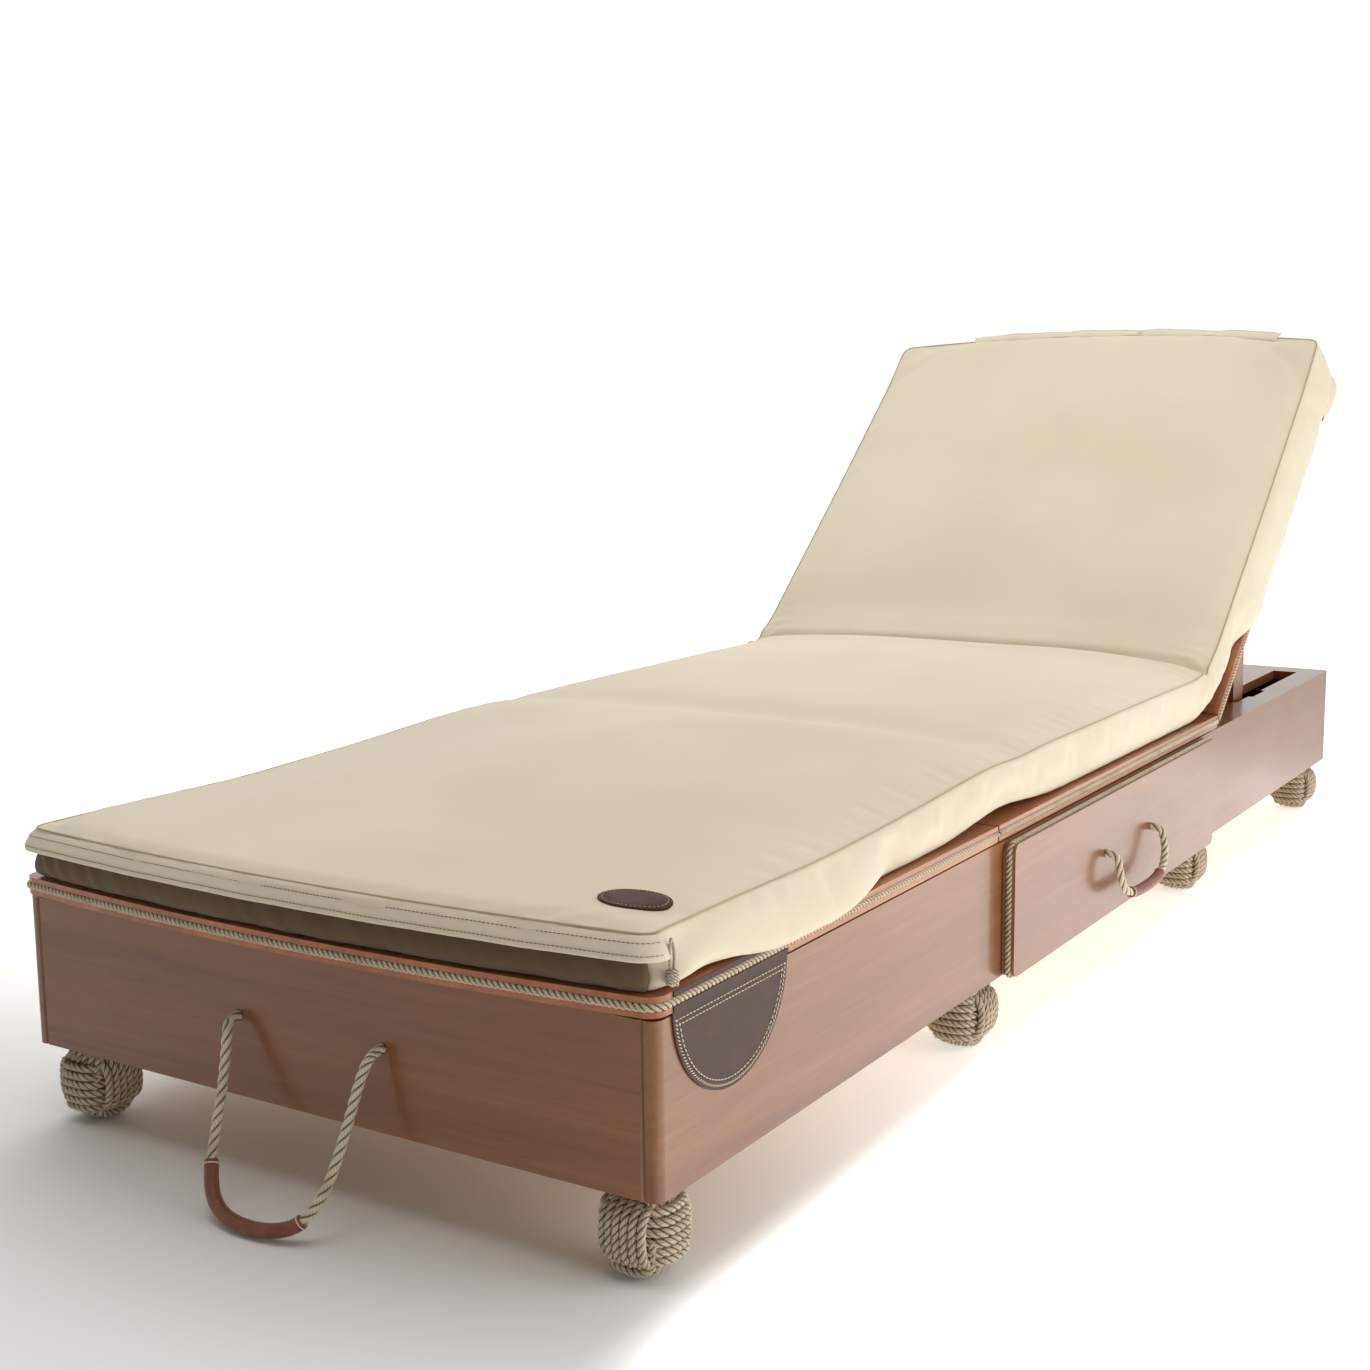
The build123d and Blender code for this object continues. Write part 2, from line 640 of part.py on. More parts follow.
# Dividers stand across the box at both ends of the drawer, and carry the fixed halves of its slides
with BuildPart() as drawer_dividers:
    with BuildSketch(plan.offset(floor_top)):
        with Locations((0, opening_front_y - divider_thickness / 2),
                       (0, opening_rear_y + divider_thickness / 2)):
            Rectangle(2 * inner_half, divider_thickness)
    extrude(amount=rail_bottom - floor_top)
drawer_dividers.part.label = "drawer_dividers"
export_step(drawer_dividers.part, "parts/drawer_dividers.step")

slide_thickness = (slide_gap - slide_running_gap) / 2
slide_z = (floor_top + opening_top) / 2
drawer_face_x = box_width / 2 + drawer_front_gap
drawer_depth = drawer_face_x + inner_half - drawer_rear_space
slide_length = drawer_depth - slide_short
slide_mid_x = inner_half - slide_inset - slide_length / 2
with BuildPart() as slides_fixed:
    with BuildSketch(plan.offset(slide_z - slide_height / 2)):
        with Locations((slide_mid_x, opening_front_y + slide_thickness / 2),
                       (slide_mid_x, opening_rear_y - slide_thickness / 2)):
            Rectangle(slide_length, slide_thickness)
    extrude(amount=slide_height)
slides_fixed.part.label = "slides_fixed"
export_step(slides_fixed.part, "parts/slides_fixed.step")

with BuildPart() as slides_moving:
    with BuildSketch(plan.offset(slide_z - slide_height / 2)):
        with Locations((slide_mid_x, opening_front_y + slide_gap - slide_thickness / 2),
                       (slide_mid_x, opening_rear_y - slide_gap + slide_thickness / 2)):
            Rectangle(slide_length, slide_thickness)
    extrude(amount=slide_height)
slides_moving.part.label = "slides_moving"
export_step(slides_moving.part, "parts/slides_moving.step")

# Drawer box: two sides along its depth, a back and a bottom
drawer_bottom = floor_top + drawer_clearance
drawer_top = opening_top - drawer_clearance
drawer_near_y = opening_front_y + slide_gap
drawer_far_y = opening_rear_y - slide_gap
drawer_mid_y = (drawer_near_y + drawer_far_y) / 2
with BuildPart() as drawer_sides:
    with BuildSketch(plan.offset(drawer_bottom)):
        with Locations((drawer_face_x - drawer_depth / 2, drawer_near_y + drawer_wall / 2),
                       (drawer_face_x - drawer_depth / 2, drawer_far_y - drawer_wall / 2)):
            Rectangle(drawer_depth, drawer_wall)
    extrude(amount=drawer_top - drawer_bottom)
drawer_sides.part.label = "drawer_sides"
export_step(drawer_sides.part, "parts/drawer_sides.step")

inner_length = drawer_far_y - drawer_near_y - 2 * drawer_wall
with BuildPart() as drawer_back:
    with BuildSketch(plan.offset(drawer_bottom)):
        with Locations((drawer_face_x - drawer_depth + drawer_wall / 2, drawer_mid_y)):
            Rectangle(drawer_wall, inner_length)
    extrude(amount=drawer_top - drawer_bottom)
drawer_back.part.label = "drawer_back"
export_step(drawer_back.part, "parts/drawer_back.step")

with BuildPart() as drawer_bottom_board:
    with BuildSketch(plan.offset(drawer_bottom)):
        with Locations((drawer_face_x - (drawer_depth - drawer_wall) / 2, drawer_mid_y)):
            Rectangle(drawer_depth - drawer_wall, inner_length)
    extrude(amount=drawer_bottom_thickness)
drawer_bottom_board.part.label = "drawer_bottom"
export_step(drawer_bottom_board.part, "parts/drawer_bottom.step")

# Drawer front, with a rope let in all round its rim
front_low = box_bottom - drawer_front_drop
front_high = box_top - drawer_front_top
front_span = drawer_rear_y - drawer_front_y
front_mid = ((drawer_front_y + drawer_rear_y) / 2, (front_low + front_high) / 2)
rim_plane = side.offset(drawer_face_x + drawer_front_thickness / 2)
drawer_pull_y = front_mid[0] + drawer_pull_offset


def drawer_rim(radius, mode=Mode.ADD):
    """A rope, or the groove for it, clockwise round the drawer front's edges."""
    left, right = drawer_front_y + rope_inset, drawer_rear_y - rope_inset
    low, high = front_low + rope_inset, front_high - rope_inset
    corner = drawer_front_corner - rope_inset
    for (x, y), (toward_x, toward_y) in (
            ((right, low), (-1, 0)), ((left, low), (0, 1)), ((left, high), (1, 0)), ((right, high), (0, -1))):
        # From each corner a bend leads on to the straight towards the next one
        ahead = Vector(toward_x, toward_y)
        behind = ahead.rotate(Axis.Z, -90)
        centre = Vector(x, y) + ahead * corner + behind * corner
        start = centre - ahead * corner
        end = centre - behind * corner
        span = (right - left if toward_x else high - low) - 2 * corner
        rope_bend(rim_plane, centre, start, 90, radius, mode)
        rope_straight(rim_plane, end, end + ahead * span, radius, mode)


with BuildPart() as drawer_front:
    with BuildSketch(side.offset(drawer_face_x)):
        with Locations(front_mid):
            RectangleRounded(front_span, front_high - front_low, drawer_front_corner)
        with Locations((drawer_pull_y - drawer_pull_spacing / 2, pull_height),
                       (drawer_pull_y + drawer_pull_spacing / 2, pull_height)):
            Circle(pull_rope_diameter / 2 + pull_fit, mode=Mode.SUBTRACT)
    extrude(amount=drawer_front_thickness)
    drawer_rim(rope_radius + rope_fit, mode=Mode.SUBTRACT)
drawer_front.part.label = "drawer_front"
export_step(drawer_front.part, "parts/drawer_front.step")

with BuildPart() as drawer_front_rope:
    drawer_rim(rope_radius)
drawer_front_rope.part.label = "drawer_front_rope"
export_step(drawer_front_rope.part, "parts/drawer_front_rope.step")

# Rope pulls: each hangs as a loop from two holes, with a stopper knot behind each hole
# Route of the front pull from the middle of the loop to its right hole: across, forwards and up
front_half = [
    (20, -85.5, 8.6), (51, -76, 16), (67, -62.5, 39), (73, -49.5, 67), (76.5, -34, 104), (81.5, -22, 142),
    (87, -13, 161), (87, 0, 161)]
# Route of the drawer pull from the middle of the loop to its rear hole: out of its face, along and up
drawer_half = [
    (24.5, 20, 104.8), (23.4, 52, 107.2), (21.5, 73, 116), (19.8, 82.5, 132), (17.5, 83, 147),
    (14, 81.6, 161), (0, 81.6, 161)]


def cord_radii(points):
    """Arc radius at each inner point: as large as its two runs allow."""
    radii = []
    for before, corner, after in zip(points, points[1:], points[2:]):
        turn = (corner - before).get_angle(after - corner)
        run = min((corner - before).length, (after - corner).length)
        radii.append(run_share * run / tan(radians(turn / 2)))
    return radii


def cord_tube(points, radii, outer, inner=0):
    """A tube, hollow if it has an inner radius, along straight runs and tangent arcs."""
    with BuildLine(mode=Mode.PRIVATE) as route:
        FilletPolyline(*points, radius=radii)
    with BuildSketch(Plane(route.line @ 0, z_dir=route.line % 0), mode=Mode.PRIVATE) as section:
        RegularPolygon(outer, rope_sides)
        if inner:
            RegularPolygon(inner, rope_sides, major_radius=False, mode=Mode.SUBTRACT)
    sweep(section.sketch, path=route.line)
    return sum(edge.length for edge in route.line.edges())


shift = Vector(mid_x, front_y, 0)
front_route = [Vector(-x, y, z) + shift for x, y, z in reversed(front_half)]
front_route += [Vector(x, y, z) + shift for x, y, z in front_half]
drawer_middle = Vector(drawer_reach, drawer_pull_y, 0) + shift
drawer_route = [Vector(x, -y, z) + drawer_middle for x, y, z in reversed(drawer_half)]
drawer_route += [Vector(x, y, z) + drawer_middle for x, y, z in drawer_half]
front_radii = cord_radii(front_route)
drawer_radii = cord_radii(drawer_route)
pull_radius = pull_rope_diameter / 2

with BuildPart() as front_pull_rope:
    front_pull_length = cord_tube(front_route, front_radii, pull_radius)
front_pull_rope.part.label = "front_pull_rope"
export_step(front_pull_rope.part, "parts/front_pull_rope.step")

with BuildPart() as drawer_pull_rope:
    drawer_pull_length = cord_tube(drawer_route, drawer_radii, pull_radius)
drawer_pull_rope.part.label = "drawer_pull_rope"
export_step(drawer_pull_rope.part, "parts/drawer_pull_rope.step")

section_area = rope_sides / 2 * pull_radius**2 * sin(radians(360 / rope_sides))
for cord_name, radii, length, piece in (("front pull", front_radii, front_pull_length, front_pull_rope),
                                        ("drawer pull", drawer_radii, drawer_pull_length, drawer_pull_rope)):
    print(cord_name, "length", round(length, 1), "radii", [round(radius, 1) for radius in radii])
    fill = piece.part.volume / (section_area * length)
    print(cord_name, "volume over section times length", round(fill, 4))


def sleeve_points(route, first, last):
    """The route between the middles of two runs, and the arcs' places in it."""
    start = (route[first] + route[first + 1]) / 2
    end = (route[last] + route[last + 1]) / 2
    return [start, *route[first + 1:last + 1], end]


# Leather sleeves round the lowest stretch of each pull
with BuildPart() as front_pull_sleeve:
    cord_tube(
        sleeve_points(front_route, 4, 10), front_radii[4:10], sleeve_diameter / 2, pull_radius + sleeve_fit)
front_pull_sleeve.part.label = "front_pull_sleeve"
export_step(front_pull_sleeve.part, "parts/front_pull_sleeve.step")

with BuildPart() as drawer_pull_sleeve:
    cord_tube(
        sleeve_points(drawer_route, 4, 8), drawer_radii[4:8], sleeve_diameter / 2, pull_radius + sleeve_fit)
drawer_pull_sleeve.part.label = "drawer_pull_sleeve"
export_step(drawer_pull_sleeve.part, "parts/drawer_pull_sleeve.step")


def stopper_knot(hole, inward, wall):
    """A knot against a board's inner face, with the rope's end that fills the board's hole."""
    with BuildSketch(Plane(hole, z_dir=inward), mode=Mode.PRIVATE) as end:
        RegularPolygon(pull_radius, rope_sides)
    extrude(end.sketch, amount=wall)
    with BuildPart(mode=Mode.PRIVATE) as ball:
        faceted_ball(
            hole + inward * wall, inward, knot_diameter, knot_diameter, knot_level_shares, knot_sides)
    add(ball.part)


with BuildPart() as front_pull_knots:
    for sign in (-1, 1):
        hole = Vector(sign * front_pull_spacing / 2, 0, pull_height) + shift
        stopper_knot(hole, Vector(0, 1, 0), end_thickness)
front_pull_knots.part.label = "front_pull_knots"
export_step(front_pull_knots.part, "parts/front_pull_knots.step")

with BuildPart() as drawer_pull_knots:
    for sign in (-1, 1):
        hole = Vector(0, sign * drawer_pull_spacing / 2, pull_height) + drawer_middle
        stopper_knot(hole, Vector(-1, 0, 0), drawer_front_thickness)
drawer_pull_knots.part.label = "drawer_pull_knots"
export_step(drawer_pull_knots.part, "parts/drawer_pull_knots.step")

# Half-round leather flap on the right side, below the edge of the foot panel
flap_top = panel_bottom - flap_top_gap
flap_mid_y = (flap_front_y + flap_rear_y) / 2
with BuildPart() as leather_flap:
    with BuildSketch(side.offset(box_width / 2)):
        with BuildLine():
            Line((flap_front_y, flap_top), (flap_rear_y, flap_top))
            ThreePointArc(
                (flap_rear_y, flap_top), (flap_mid_y, flap_top - flap_depth), (flap_front_y, flap_top))
        make_face()
    extrude(amount=flap_thickness)
leather_flap.part.label = "leather_flap"
export_step(leather_flap.part, "parts/leather_flap.step")

# The same leather edges the foot panel beside the flap, below and above the rope's groove
groove_half = sqrt((rope_radius + rope_fit)**2 - rope_inset**2)
edging_height = panel_thickness / 2 - groove_half
with BuildPart() as flap_edging:
    for edge_z in (panel_bottom + edging_height / 2, panel_top - edging_height / 2):
        with BuildSketch(side.offset(panel_half)):
            with Locations((flap_mid_y, edge_z)):
                Rectangle(flap_rear_y - flap_front_y, edging_height)
        extrude(amount=edging_thickness)
flap_edging.part.label = "flap_edging"
export_step(flap_edging.part, "parts/flap_edging.step")

# Cushions: bulged sides, drawn in to their seams, under a crowned top
cushion_half = panel_half - cushion_inset


def cushion_section(plane, seam, crown):
    """One cross-section of a cushion: flat below, bulged at the sides and crowned on top."""
    foot, edge = cushion_half - cushion_tuck, cushion_half - cushion_bulge
    with BuildSketch(plane, mode=Mode.PRIVATE) as section:
        with BuildLine():
            Line((-foot, 0), (foot, 0))
            ThreePointArc((foot, 0), (cushion_half, seam / 2), (edge, seam))
            ThreePointArc((edge, seam), (0, crown), (-edge, seam))
            ThreePointArc((-edge, seam), (-cushion_half, seam / 2), (-foot, 0))
        make_face()
    return section.sketch.face()


half_tilt = tan(tilt / 2)
cushion_rise = panel_thickness + cushion_lift
cushion_head = backrest_length + head_overhang
wedge_height = 2 * cushion_crown
seat_stations = [
    (y * hinge_y, seam * cushion_crown, crown * cushion_crown) for y, seam, crown in seat_station_shares]
back_stations = [
    (s * backrest_length, seam * cushion_crown, crown * cushion_crown)
    for s, seam, crown in back_station_shares]

with BuildPart() as cushion_seat:
    seat_face = face.offset(0)
    seat_face.origin = seat_face.origin + Vector(0, 0, panel_top + cushion_lift)
    seat_sections = [cushion_section(seat_face.offset(-y), seam, crown) for y, seam, crown in seat_stations]
    loft(seat_sections, ruled=True)
    bowed_slab(
        plan.offset(panel_top), cushion_half, seat_stations[-1][0] + overrun, seat_front_inset, panel_bow,
        cushion_corner, wedge_height, mode=Mode.INTERSECT)
    # Mitred against the back cushion, so that the two meet when the backrest is up
    with BuildSketch(side.offset(-box_width)):
        with BuildLine():
            Polyline(
                (hinge_y - mitre_gap, panel_bottom),
                (hinge_y - mitre_gap - wedge_height * half_tilt, panel_bottom + wedge_height),
                (hinge_y + wedge_height, panel_bottom + wedge_height),
                (hinge_y + wedge_height, panel_bottom), close=True)
        make_face()
    extrude(amount=2 * box_width, mode=Mode.SUBTRACT)
cushion_seat.part.label = "cushion_seat"
export_step(cushion_seat.part, "parts/cushion_seat.step")

with BuildPart() as cushion_back:
    back_sections = [
        cushion_section(
            Plane(back_plan.from_local_coords(Vector(0, s, cushion_rise)), x_dir=(1, 0, 0),
                  z_dir=(0, -cos(tilt), -sin(tilt))), seam, crown)
        for s, seam, crown in back_stations]
    loft(back_sections, ruled=True)
    bowed_slab(
        head_plan.offset(panel_thickness), cushion_half, cushion_overlap, panel_bow - cushion_head, panel_bow,
        cushion_corner, wedge_height, mode=Mode.INTERSECT)
    with BuildSketch(back_side.offset(-box_width)):
        with BuildLine():
            Polyline(
                (mitre_gap, 0), (mitre_gap + wedge_height * half_tilt, wedge_height),
                (-wedge_height, wedge_height), (-wedge_height, 0), close=True)
        make_face()
    extrude(amount=2 * box_width, mode=Mode.SUBTRACT)
cushion_back.part.label = "cushion_back"
export_step(cushion_back.part, "parts/cushion_back.step")

# Flap over the zip along the cushion's front edge
with BuildPart() as zip_flap:
    flap_plane = plan.offset(panel_top + zip_flap_top - zip_flap_height)
    flap_grow = zip_flap_gap + zip_flap_thickness
    bowed_slab(
        flap_plane, cushion_half + flap_grow, cushion_corner + flap_grow, seat_front_inset - flap_grow,
        panel_bow, cushion_corner + flap_grow, zip_flap_height)
    bowed_slab(
        flap_plane, cushion_half + zip_flap_gap, cushion_corner + flap_grow, seat_front_inset - zip_flap_gap,
        panel_bow, cushion_corner + zip_flap_gap, zip_flap_height, mode=Mode.SUBTRACT)
zip_flap.part.label = "zip_flap"
export_step(zip_flap.part, "parts/zip_flap.step")

# Oval leather patch, lying on the cushion's crown
with BuildPart() as patch_blank:
    with BuildSketch(plan.offset(panel_top)):
        with Locations((cushion_half - patch_inset, patch_y)):
            Ellipse(patch_half_length, patch_half_width)
    extrude(amount=wedge_height)
patch_solid = patch_blank.part & (Pos(0, 0, patch_thickness) * cushion_seat.part) - cushion_seat.part
with BuildPart() as oval_patch:
    add(patch_solid)
oval_patch.part.label = "oval_patch"
export_step(oval_patch.part, "parts/oval_patch.step")

# Pocket of the cushion, pulled over the head end of the backrest
with BuildPart() as head_pocket:
    pocket_grow = edge_rope_proud + pocket_gap
    bowed_slab(
        head_plan.offset(-pocket_back), panel_half + pocket_grow + pocket_wall, pocket_length - back_end,
        -back_end - pocket_grow - pocket_wall, panel_bow, panel_corner + pocket_grow + pocket_wall,
        pocket_back + panel_thickness)
    bowed_slab(
        head_plan.offset(-cushion_lift), panel_half + pocket_grow, overrun + pocket_length - back_end,
        -back_end - pocket_grow,
        panel_bow, panel_corner + pocket_grow, panel_thickness + 2 * overrun, mode=Mode.SUBTRACT)
head_pocket.part.label = "head_pocket"
export_step(head_pocket.part, "parts/head_pocket.step")

# Small tag that stands on the pocket's head end, clear of the cushion's head face
with BuildPart() as woven_tag:
    pocket_reach = backrest_length + pocket_grow + pocket_wall
    with BuildSketch(head_plan.offset(panel_thickness)):
        with Locations((-tag_x, tag_thickness / 2 - pocket_reach)):
            Rectangle(tag_width, tag_thickness)
    extrude(amount=tag_height)
woven_tag.part.label = "woven_tag"
export_step(woven_tag.part, "parts/woven_tag.step")

# Zip pull, hanging against the flap's right end
with BuildPart() as zip_pull:
    pull_x = cushion_half + zip_pull_gap + zip_pull_diameter / 2
    pull_y = cushion_corner + flap_grow - zip_pull_diameter / 2
    pull_foot = Vector(pull_x, pull_y, panel_top + zip_flap_top - zip_flap_height - zip_pull_drop) + shift
    faceted_ball(
        pull_foot, Vector(0, 0, 1), zip_pull_diameter, zip_pull_length, pull_level_shares, knot_sides)
    with BuildSketch(Plane(pull_foot + Vector(0, 0, zip_pull_length))):
        RegularPolygon(zip_pull_loop / 2, rope_sides)
    extrude(amount=zip_pull_drop + zip_flap_height - zip_pull_length)
zip_pull.part.label = "zip_pull"
export_step(zip_pull.part, "parts/zip_pull.step")
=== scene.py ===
import math

import bpy
import numpy as np
from mathutils import Matrix, Vector


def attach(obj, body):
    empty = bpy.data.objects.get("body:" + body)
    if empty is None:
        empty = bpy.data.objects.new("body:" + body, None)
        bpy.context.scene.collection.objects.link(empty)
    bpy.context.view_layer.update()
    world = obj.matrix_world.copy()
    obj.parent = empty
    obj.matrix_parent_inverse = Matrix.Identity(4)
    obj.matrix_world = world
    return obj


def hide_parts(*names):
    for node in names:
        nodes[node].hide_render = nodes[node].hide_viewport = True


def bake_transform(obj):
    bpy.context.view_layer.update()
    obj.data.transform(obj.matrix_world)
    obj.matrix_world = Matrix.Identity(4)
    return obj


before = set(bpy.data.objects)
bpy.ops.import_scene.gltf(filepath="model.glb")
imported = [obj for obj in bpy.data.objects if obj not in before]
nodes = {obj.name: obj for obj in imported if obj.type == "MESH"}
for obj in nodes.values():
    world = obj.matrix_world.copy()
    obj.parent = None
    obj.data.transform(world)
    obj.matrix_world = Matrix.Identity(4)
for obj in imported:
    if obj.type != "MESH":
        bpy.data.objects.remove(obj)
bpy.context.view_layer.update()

# Box coordinates start in the middle of the box's width, at the front board's face and on the floor
boxStart = np.array([-0.003, -1.0315, 0])
# The box, its panels and the tilted backrest, which the pieces are laid out on
lounger = dict(panelHalf=0.377, panelBottom=0.238, panelTop=0.2555, hingeY=1.460, tilt=math.radians(40.5),
               bow=0.022)
sinTilt, cosTilt = math.sin(lounger["tilt"]), math.cos(lounger["tilt"])


def onBox(points):  # box coordinates, moved into the shared frame
    return np.asarray(points) + boxStart


def onBack(points):  # x, place up the backrest from its hinge line, height above its underside
    x, s, h = np.moveaxis(np.asarray(points), -1, 0)
    y = lounger["hingeY"] + s * cosTilt - h * sinTilt
    return onBox(np.stack([x, y, lounger["panelBottom"] + s * sinTilt + h * cosTilt], axis=-1))


def link(thing):  # puts an object into the scene
    bpy.context.scene.collection.objects.link(thing)
    return thing


# Shader maths


class Wire:  # one output of a node, which adds Math nodes as it is used in sums
    def __init__(self, finish, socket):
        self.finish, self.socket = finish, socket

    def math(self, operation, *others):
        return self.finish.add("ShaderNodeMath", {"operation": operation}, dict(enumerate((self, *others))))

    def __add__(self, other):
        return self.math("ADD", other)

    def __sub__(self, other):
        return self.math("SUBTRACT", other)

    def __mul__(self, other):
        return self.math("MULTIPLY", other)

    def __truediv__(self, other):
        return self.math("DIVIDE", other)

    def __radd__(self, other):
        return self + other

    def __rmul__(self, other):
        return self * other

    def __rsub__(self, other):
        return self.finish.add("ShaderNodeMath", {"operation": "SUBTRACT"}, {0: other, 1: self})

    def rise(self, low, high, ease="SMOOTHSTEP"):  # 0 below low, 1 above high, eased between
        return self.finish.add("ShaderNodeMapRange", {"interpolation_type": ease},
                               {"Value": self, "From Min": low, "From Max": high})


class Finish:  # a material, or the world, and the nodes that colour it
    def __init__(self, name, owner=None, shader="Principled BSDF", **constants):
        self.owner = owner or bpy.data.materials.new(name)
        self.owner.use_nodes = True
        self.tree = self.owner.node_tree
        self.shader = self.tree.nodes[shader]
        for socket, value in constants.items():
            self.shader.inputs[socket.replace("_", " ")].default_value = value

    def add(self, kind, settings=None, sockets=None, output=0):  # any node, and one of its outputs
        node = self.tree.nodes.new(kind)
        for key, value in (settings or {}).items():
            setattr(node, key, value)
        for key, value in (sockets or {}).items():
            if isinstance(value, Wire):
                self.tree.links.new(value.socket, node.inputs[key])
            else:
                node.inputs[key].default_value = value
        return Wire(self, node.outputs[output])

    def place(self, scale=(1, 1, 1), source="Object"):  # a pattern's coordinates, each times a scale
        where = self.add("ShaderNodeTexCoord", output=source)
        return self.add("ShaderNodeMapping", {}, {"Vector": where, "Scale": scale})

    def parts(self, vector):
        return [self.add("ShaderNodeSeparateXYZ", {}, {0: vector}, output=axis) for axis in "XYZ"]

    def noise(self, vector, scale, detail=3.0, rough=0.5, distortion=0.0):
        return self.add("ShaderNodeTexNoise", {}, {"Vector": vector, "Scale": scale, "Detail": detail,
                                                   "Roughness": rough, "Distortion": distortion})

    def mix(self, share, first, second):
        return self.add("ShaderNodeMix", {"data_type": "RGBA"}, {0: share, 6: first, 7: second}, output=2)

    def bump(self, height, strength, distance):
        return self.add("ShaderNodeBump", {}, {"Height": height, "Strength": strength, "Distance": distance})

    def into(self, **wires):  # the last links, which end at the shader
        for socket, wire in wires.items():
            self.tree.links.new(wire.socket, self.shader.inputs[socket.replace("_", " ")])
        return self.owner


def paint(red, green, blue):  # a colour as a screen shows it, 0 to 255, as the shader's linear light
    shares = [c / 255 / 12.92 if c < 10 else ((c / 255 + 0.055) / 1.055)**2.4 for c in (red, green, blue)]
    return (*shares, 1)


woodTones = {
    "mahogany": dict(dark=paint(102, 63, 38), mid=paint(124, 80, 48), light=paint(142, 97, 62), coat=0.6),
    "panel": dict(dark=paint(112, 62, 34), mid=paint(156, 96, 58), light=paint(182, 120, 78), coat=0.5),
    "birch": dict(dark=paint(176, 140, 98), mid=paint(204, 170, 126), light=paint(220, 190, 150), coat=0.1),
}


def woodFinish(name, tones, along):
    # Grain is noise drawn out along one axis: wide ribbons of tone, fine fibres, and dark, sunken pores
    stretch = [26.0, 26.0, 26.0]
    stretch["XYZ".index(along)] = 1.3
    finish = Finish(name, Coat_Weight=tones["coat"], Coat_Roughness=0.16, Specular_IOR_Level=0.3)
    where = finish.place(stretch)
    ribbons = finish.noise(where, 0.6, 4.0, 0.55, 0.6)
    fibres = finish.noise(where, 7.0, 6.0, 0.65, 0.2)
    pores = finish.noise(where, 34.0, 2.0, 0.5).rise(0.6, 0.72)
    cloud = finish.noise(finish.place((1.6, 1.6, 1.6)), 1.5, 2.0)
    tone = ribbons * 0.55 + fibres * 0.3 + cloud * 0.15
    colour = finish.mix(tone.rise(0.3, 0.56), tones["dark"], tones["mid"])
    colour = finish.mix(tone.rise(0.5, 0.72), colour, tones["light"])
    colour = finish.mix(pores * 0.25, colour, tones["dark"])
    sheen = finish.noise(finish.place((3, 3, 3)), 2.0, 2.0) * 0.14 + fibres * 0.08 + 0.24
    return finish.into(Base_Color=colour, Roughness=sheen,
                       Normal=finish.bump(fibres * 0.5 - pores * 0.6, 0.12, 0.0006))


# Every rope is laid from strands with a round outline and sharp valleys between them
ropeLay = dict(strands=3, depth=0.34, sharpness=0.75, yarn=0.0011)
# The darkest tone of each rope is painted shade, laid into the valleys between its strands
ropeTones = {
    "edge": dict(light=paint(222, 206, 178), dark=paint(138, 114, 88), paintedValleyShade=paint(36, 24, 16)),
    "knot": dict(light=paint(220, 204, 178), dark=paint(150, 129, 104), paintedValleyShade=paint(34, 24, 16)),
    "pull": dict(light=paint(226, 214, 190), dark=paint(146, 128, 102), paintedValleyShade=paint(70, 58, 42)),
}


def ropeFinish(name, tones):
    # The map's u goes round the rope and its v along it in metres, both following the lay, so each strand
    # takes an equal share of u
    finish = Finish(name, Roughness=0.72, Specular_IOR_Level=0.25, Sheen_Weight=0.25)
    u, v, _ = finish.parts(finish.place(source="UV"))
    across = (u * ropeLay["strands"]).math("FRACT") - 0.5
    edge = across.math("ABSOLUTE").rise(0.26, 0.5)
    yarns = ((across * 3.2 + v / ropeLay["yarn"] * 0.5) * (2 * math.pi)).math("SINE") * 0.5 + 0.5
    fuzz = finish.noise(finish.place(), 900.0, 3.0)
    cloud = finish.noise(finish.place(), 30.0, 3.0)
    colour = finish.mix(yarns * 0.35 + fuzz * 0.35, tones["light"], tones["dark"])
    colour = finish.mix(cloud.rise(0.45, 0.75) * 0.4, colour, tones["dark"])
    # Towards the valleys between strands the colour turns to painted shade
    colour = finish.mix(edge * 0.9, colour, tones["paintedValleyShade"])
    return finish.into(Base_Color=colour, Normal=finish.bump(yarns * 0.7 + fuzz * 0.5, 0.45, 0.0004))


def leatherFinish(name, tone, worn, grain=1400.0, shine=0.42, gloss=0.12):
    # Leather grain is the gaps between cells of a Voronoi pattern, with worn lighter patches
    finish = Finish(name, Specular_IOR_Level=0.15 + gloss * 2, Coat_Weight=gloss, Coat_Roughness=0.3)
    where = finish.place()
    cells = finish.add("ShaderNodeTexVoronoi", {"feature": "DISTANCE_TO_EDGE"},
                       {"Vector": where, "Scale": grain})
    creases = cells.rise(0.0, 0.12)
    rub = finish.noise(where, 60.0, 4.0).rise(0.45, 0.7)
    colour = finish.mix(rub * 0.5, tone, worn)
    colour = finish.mix((1 - creases) * 0.35, colour, paint(30, 18, 14))
    return finish.into(Base_Color=colour, Roughness=rub * 0.12 + shine,
                       Normal=finish.bump(creases, 0.3, 0.0003))


def canvasFinish(name, tone, shade, thread=0.0009):
    # Two sets of threads cross; the map's u and v are metres of cloth
    finish = Finish(name, Specular_IOR_Level=0.2, Sheen_Weight=0.15, Sheen_Roughness=0.5)
    u, v, _ = finish.parts(finish.place(source="UV"))
    warp, weft = [(way / thread * math.pi).math("SINE").math("ABSOLUTE") for way in (u, v)]
    weave = warp * weft
    slub = finish.noise(finish.place((6, 40, 20)), 6.0, 3.0)
    cloud = finish.noise(finish.place(), 3.0, 3.0)
    colour = finish.mix(cloud.rise(0.35, 0.7) * 0.4 + slub * 0.15, tone, shade)
    colour = finish.mix((1 - weave) * 0.12, colour, shade)
    return finish.into(Base_Color=colour, Roughness=0.86 - weave * 0.08,
                       Normal=finish.bump(weave * 0.6 + slub * 0.4, 0.2, 0.0004))


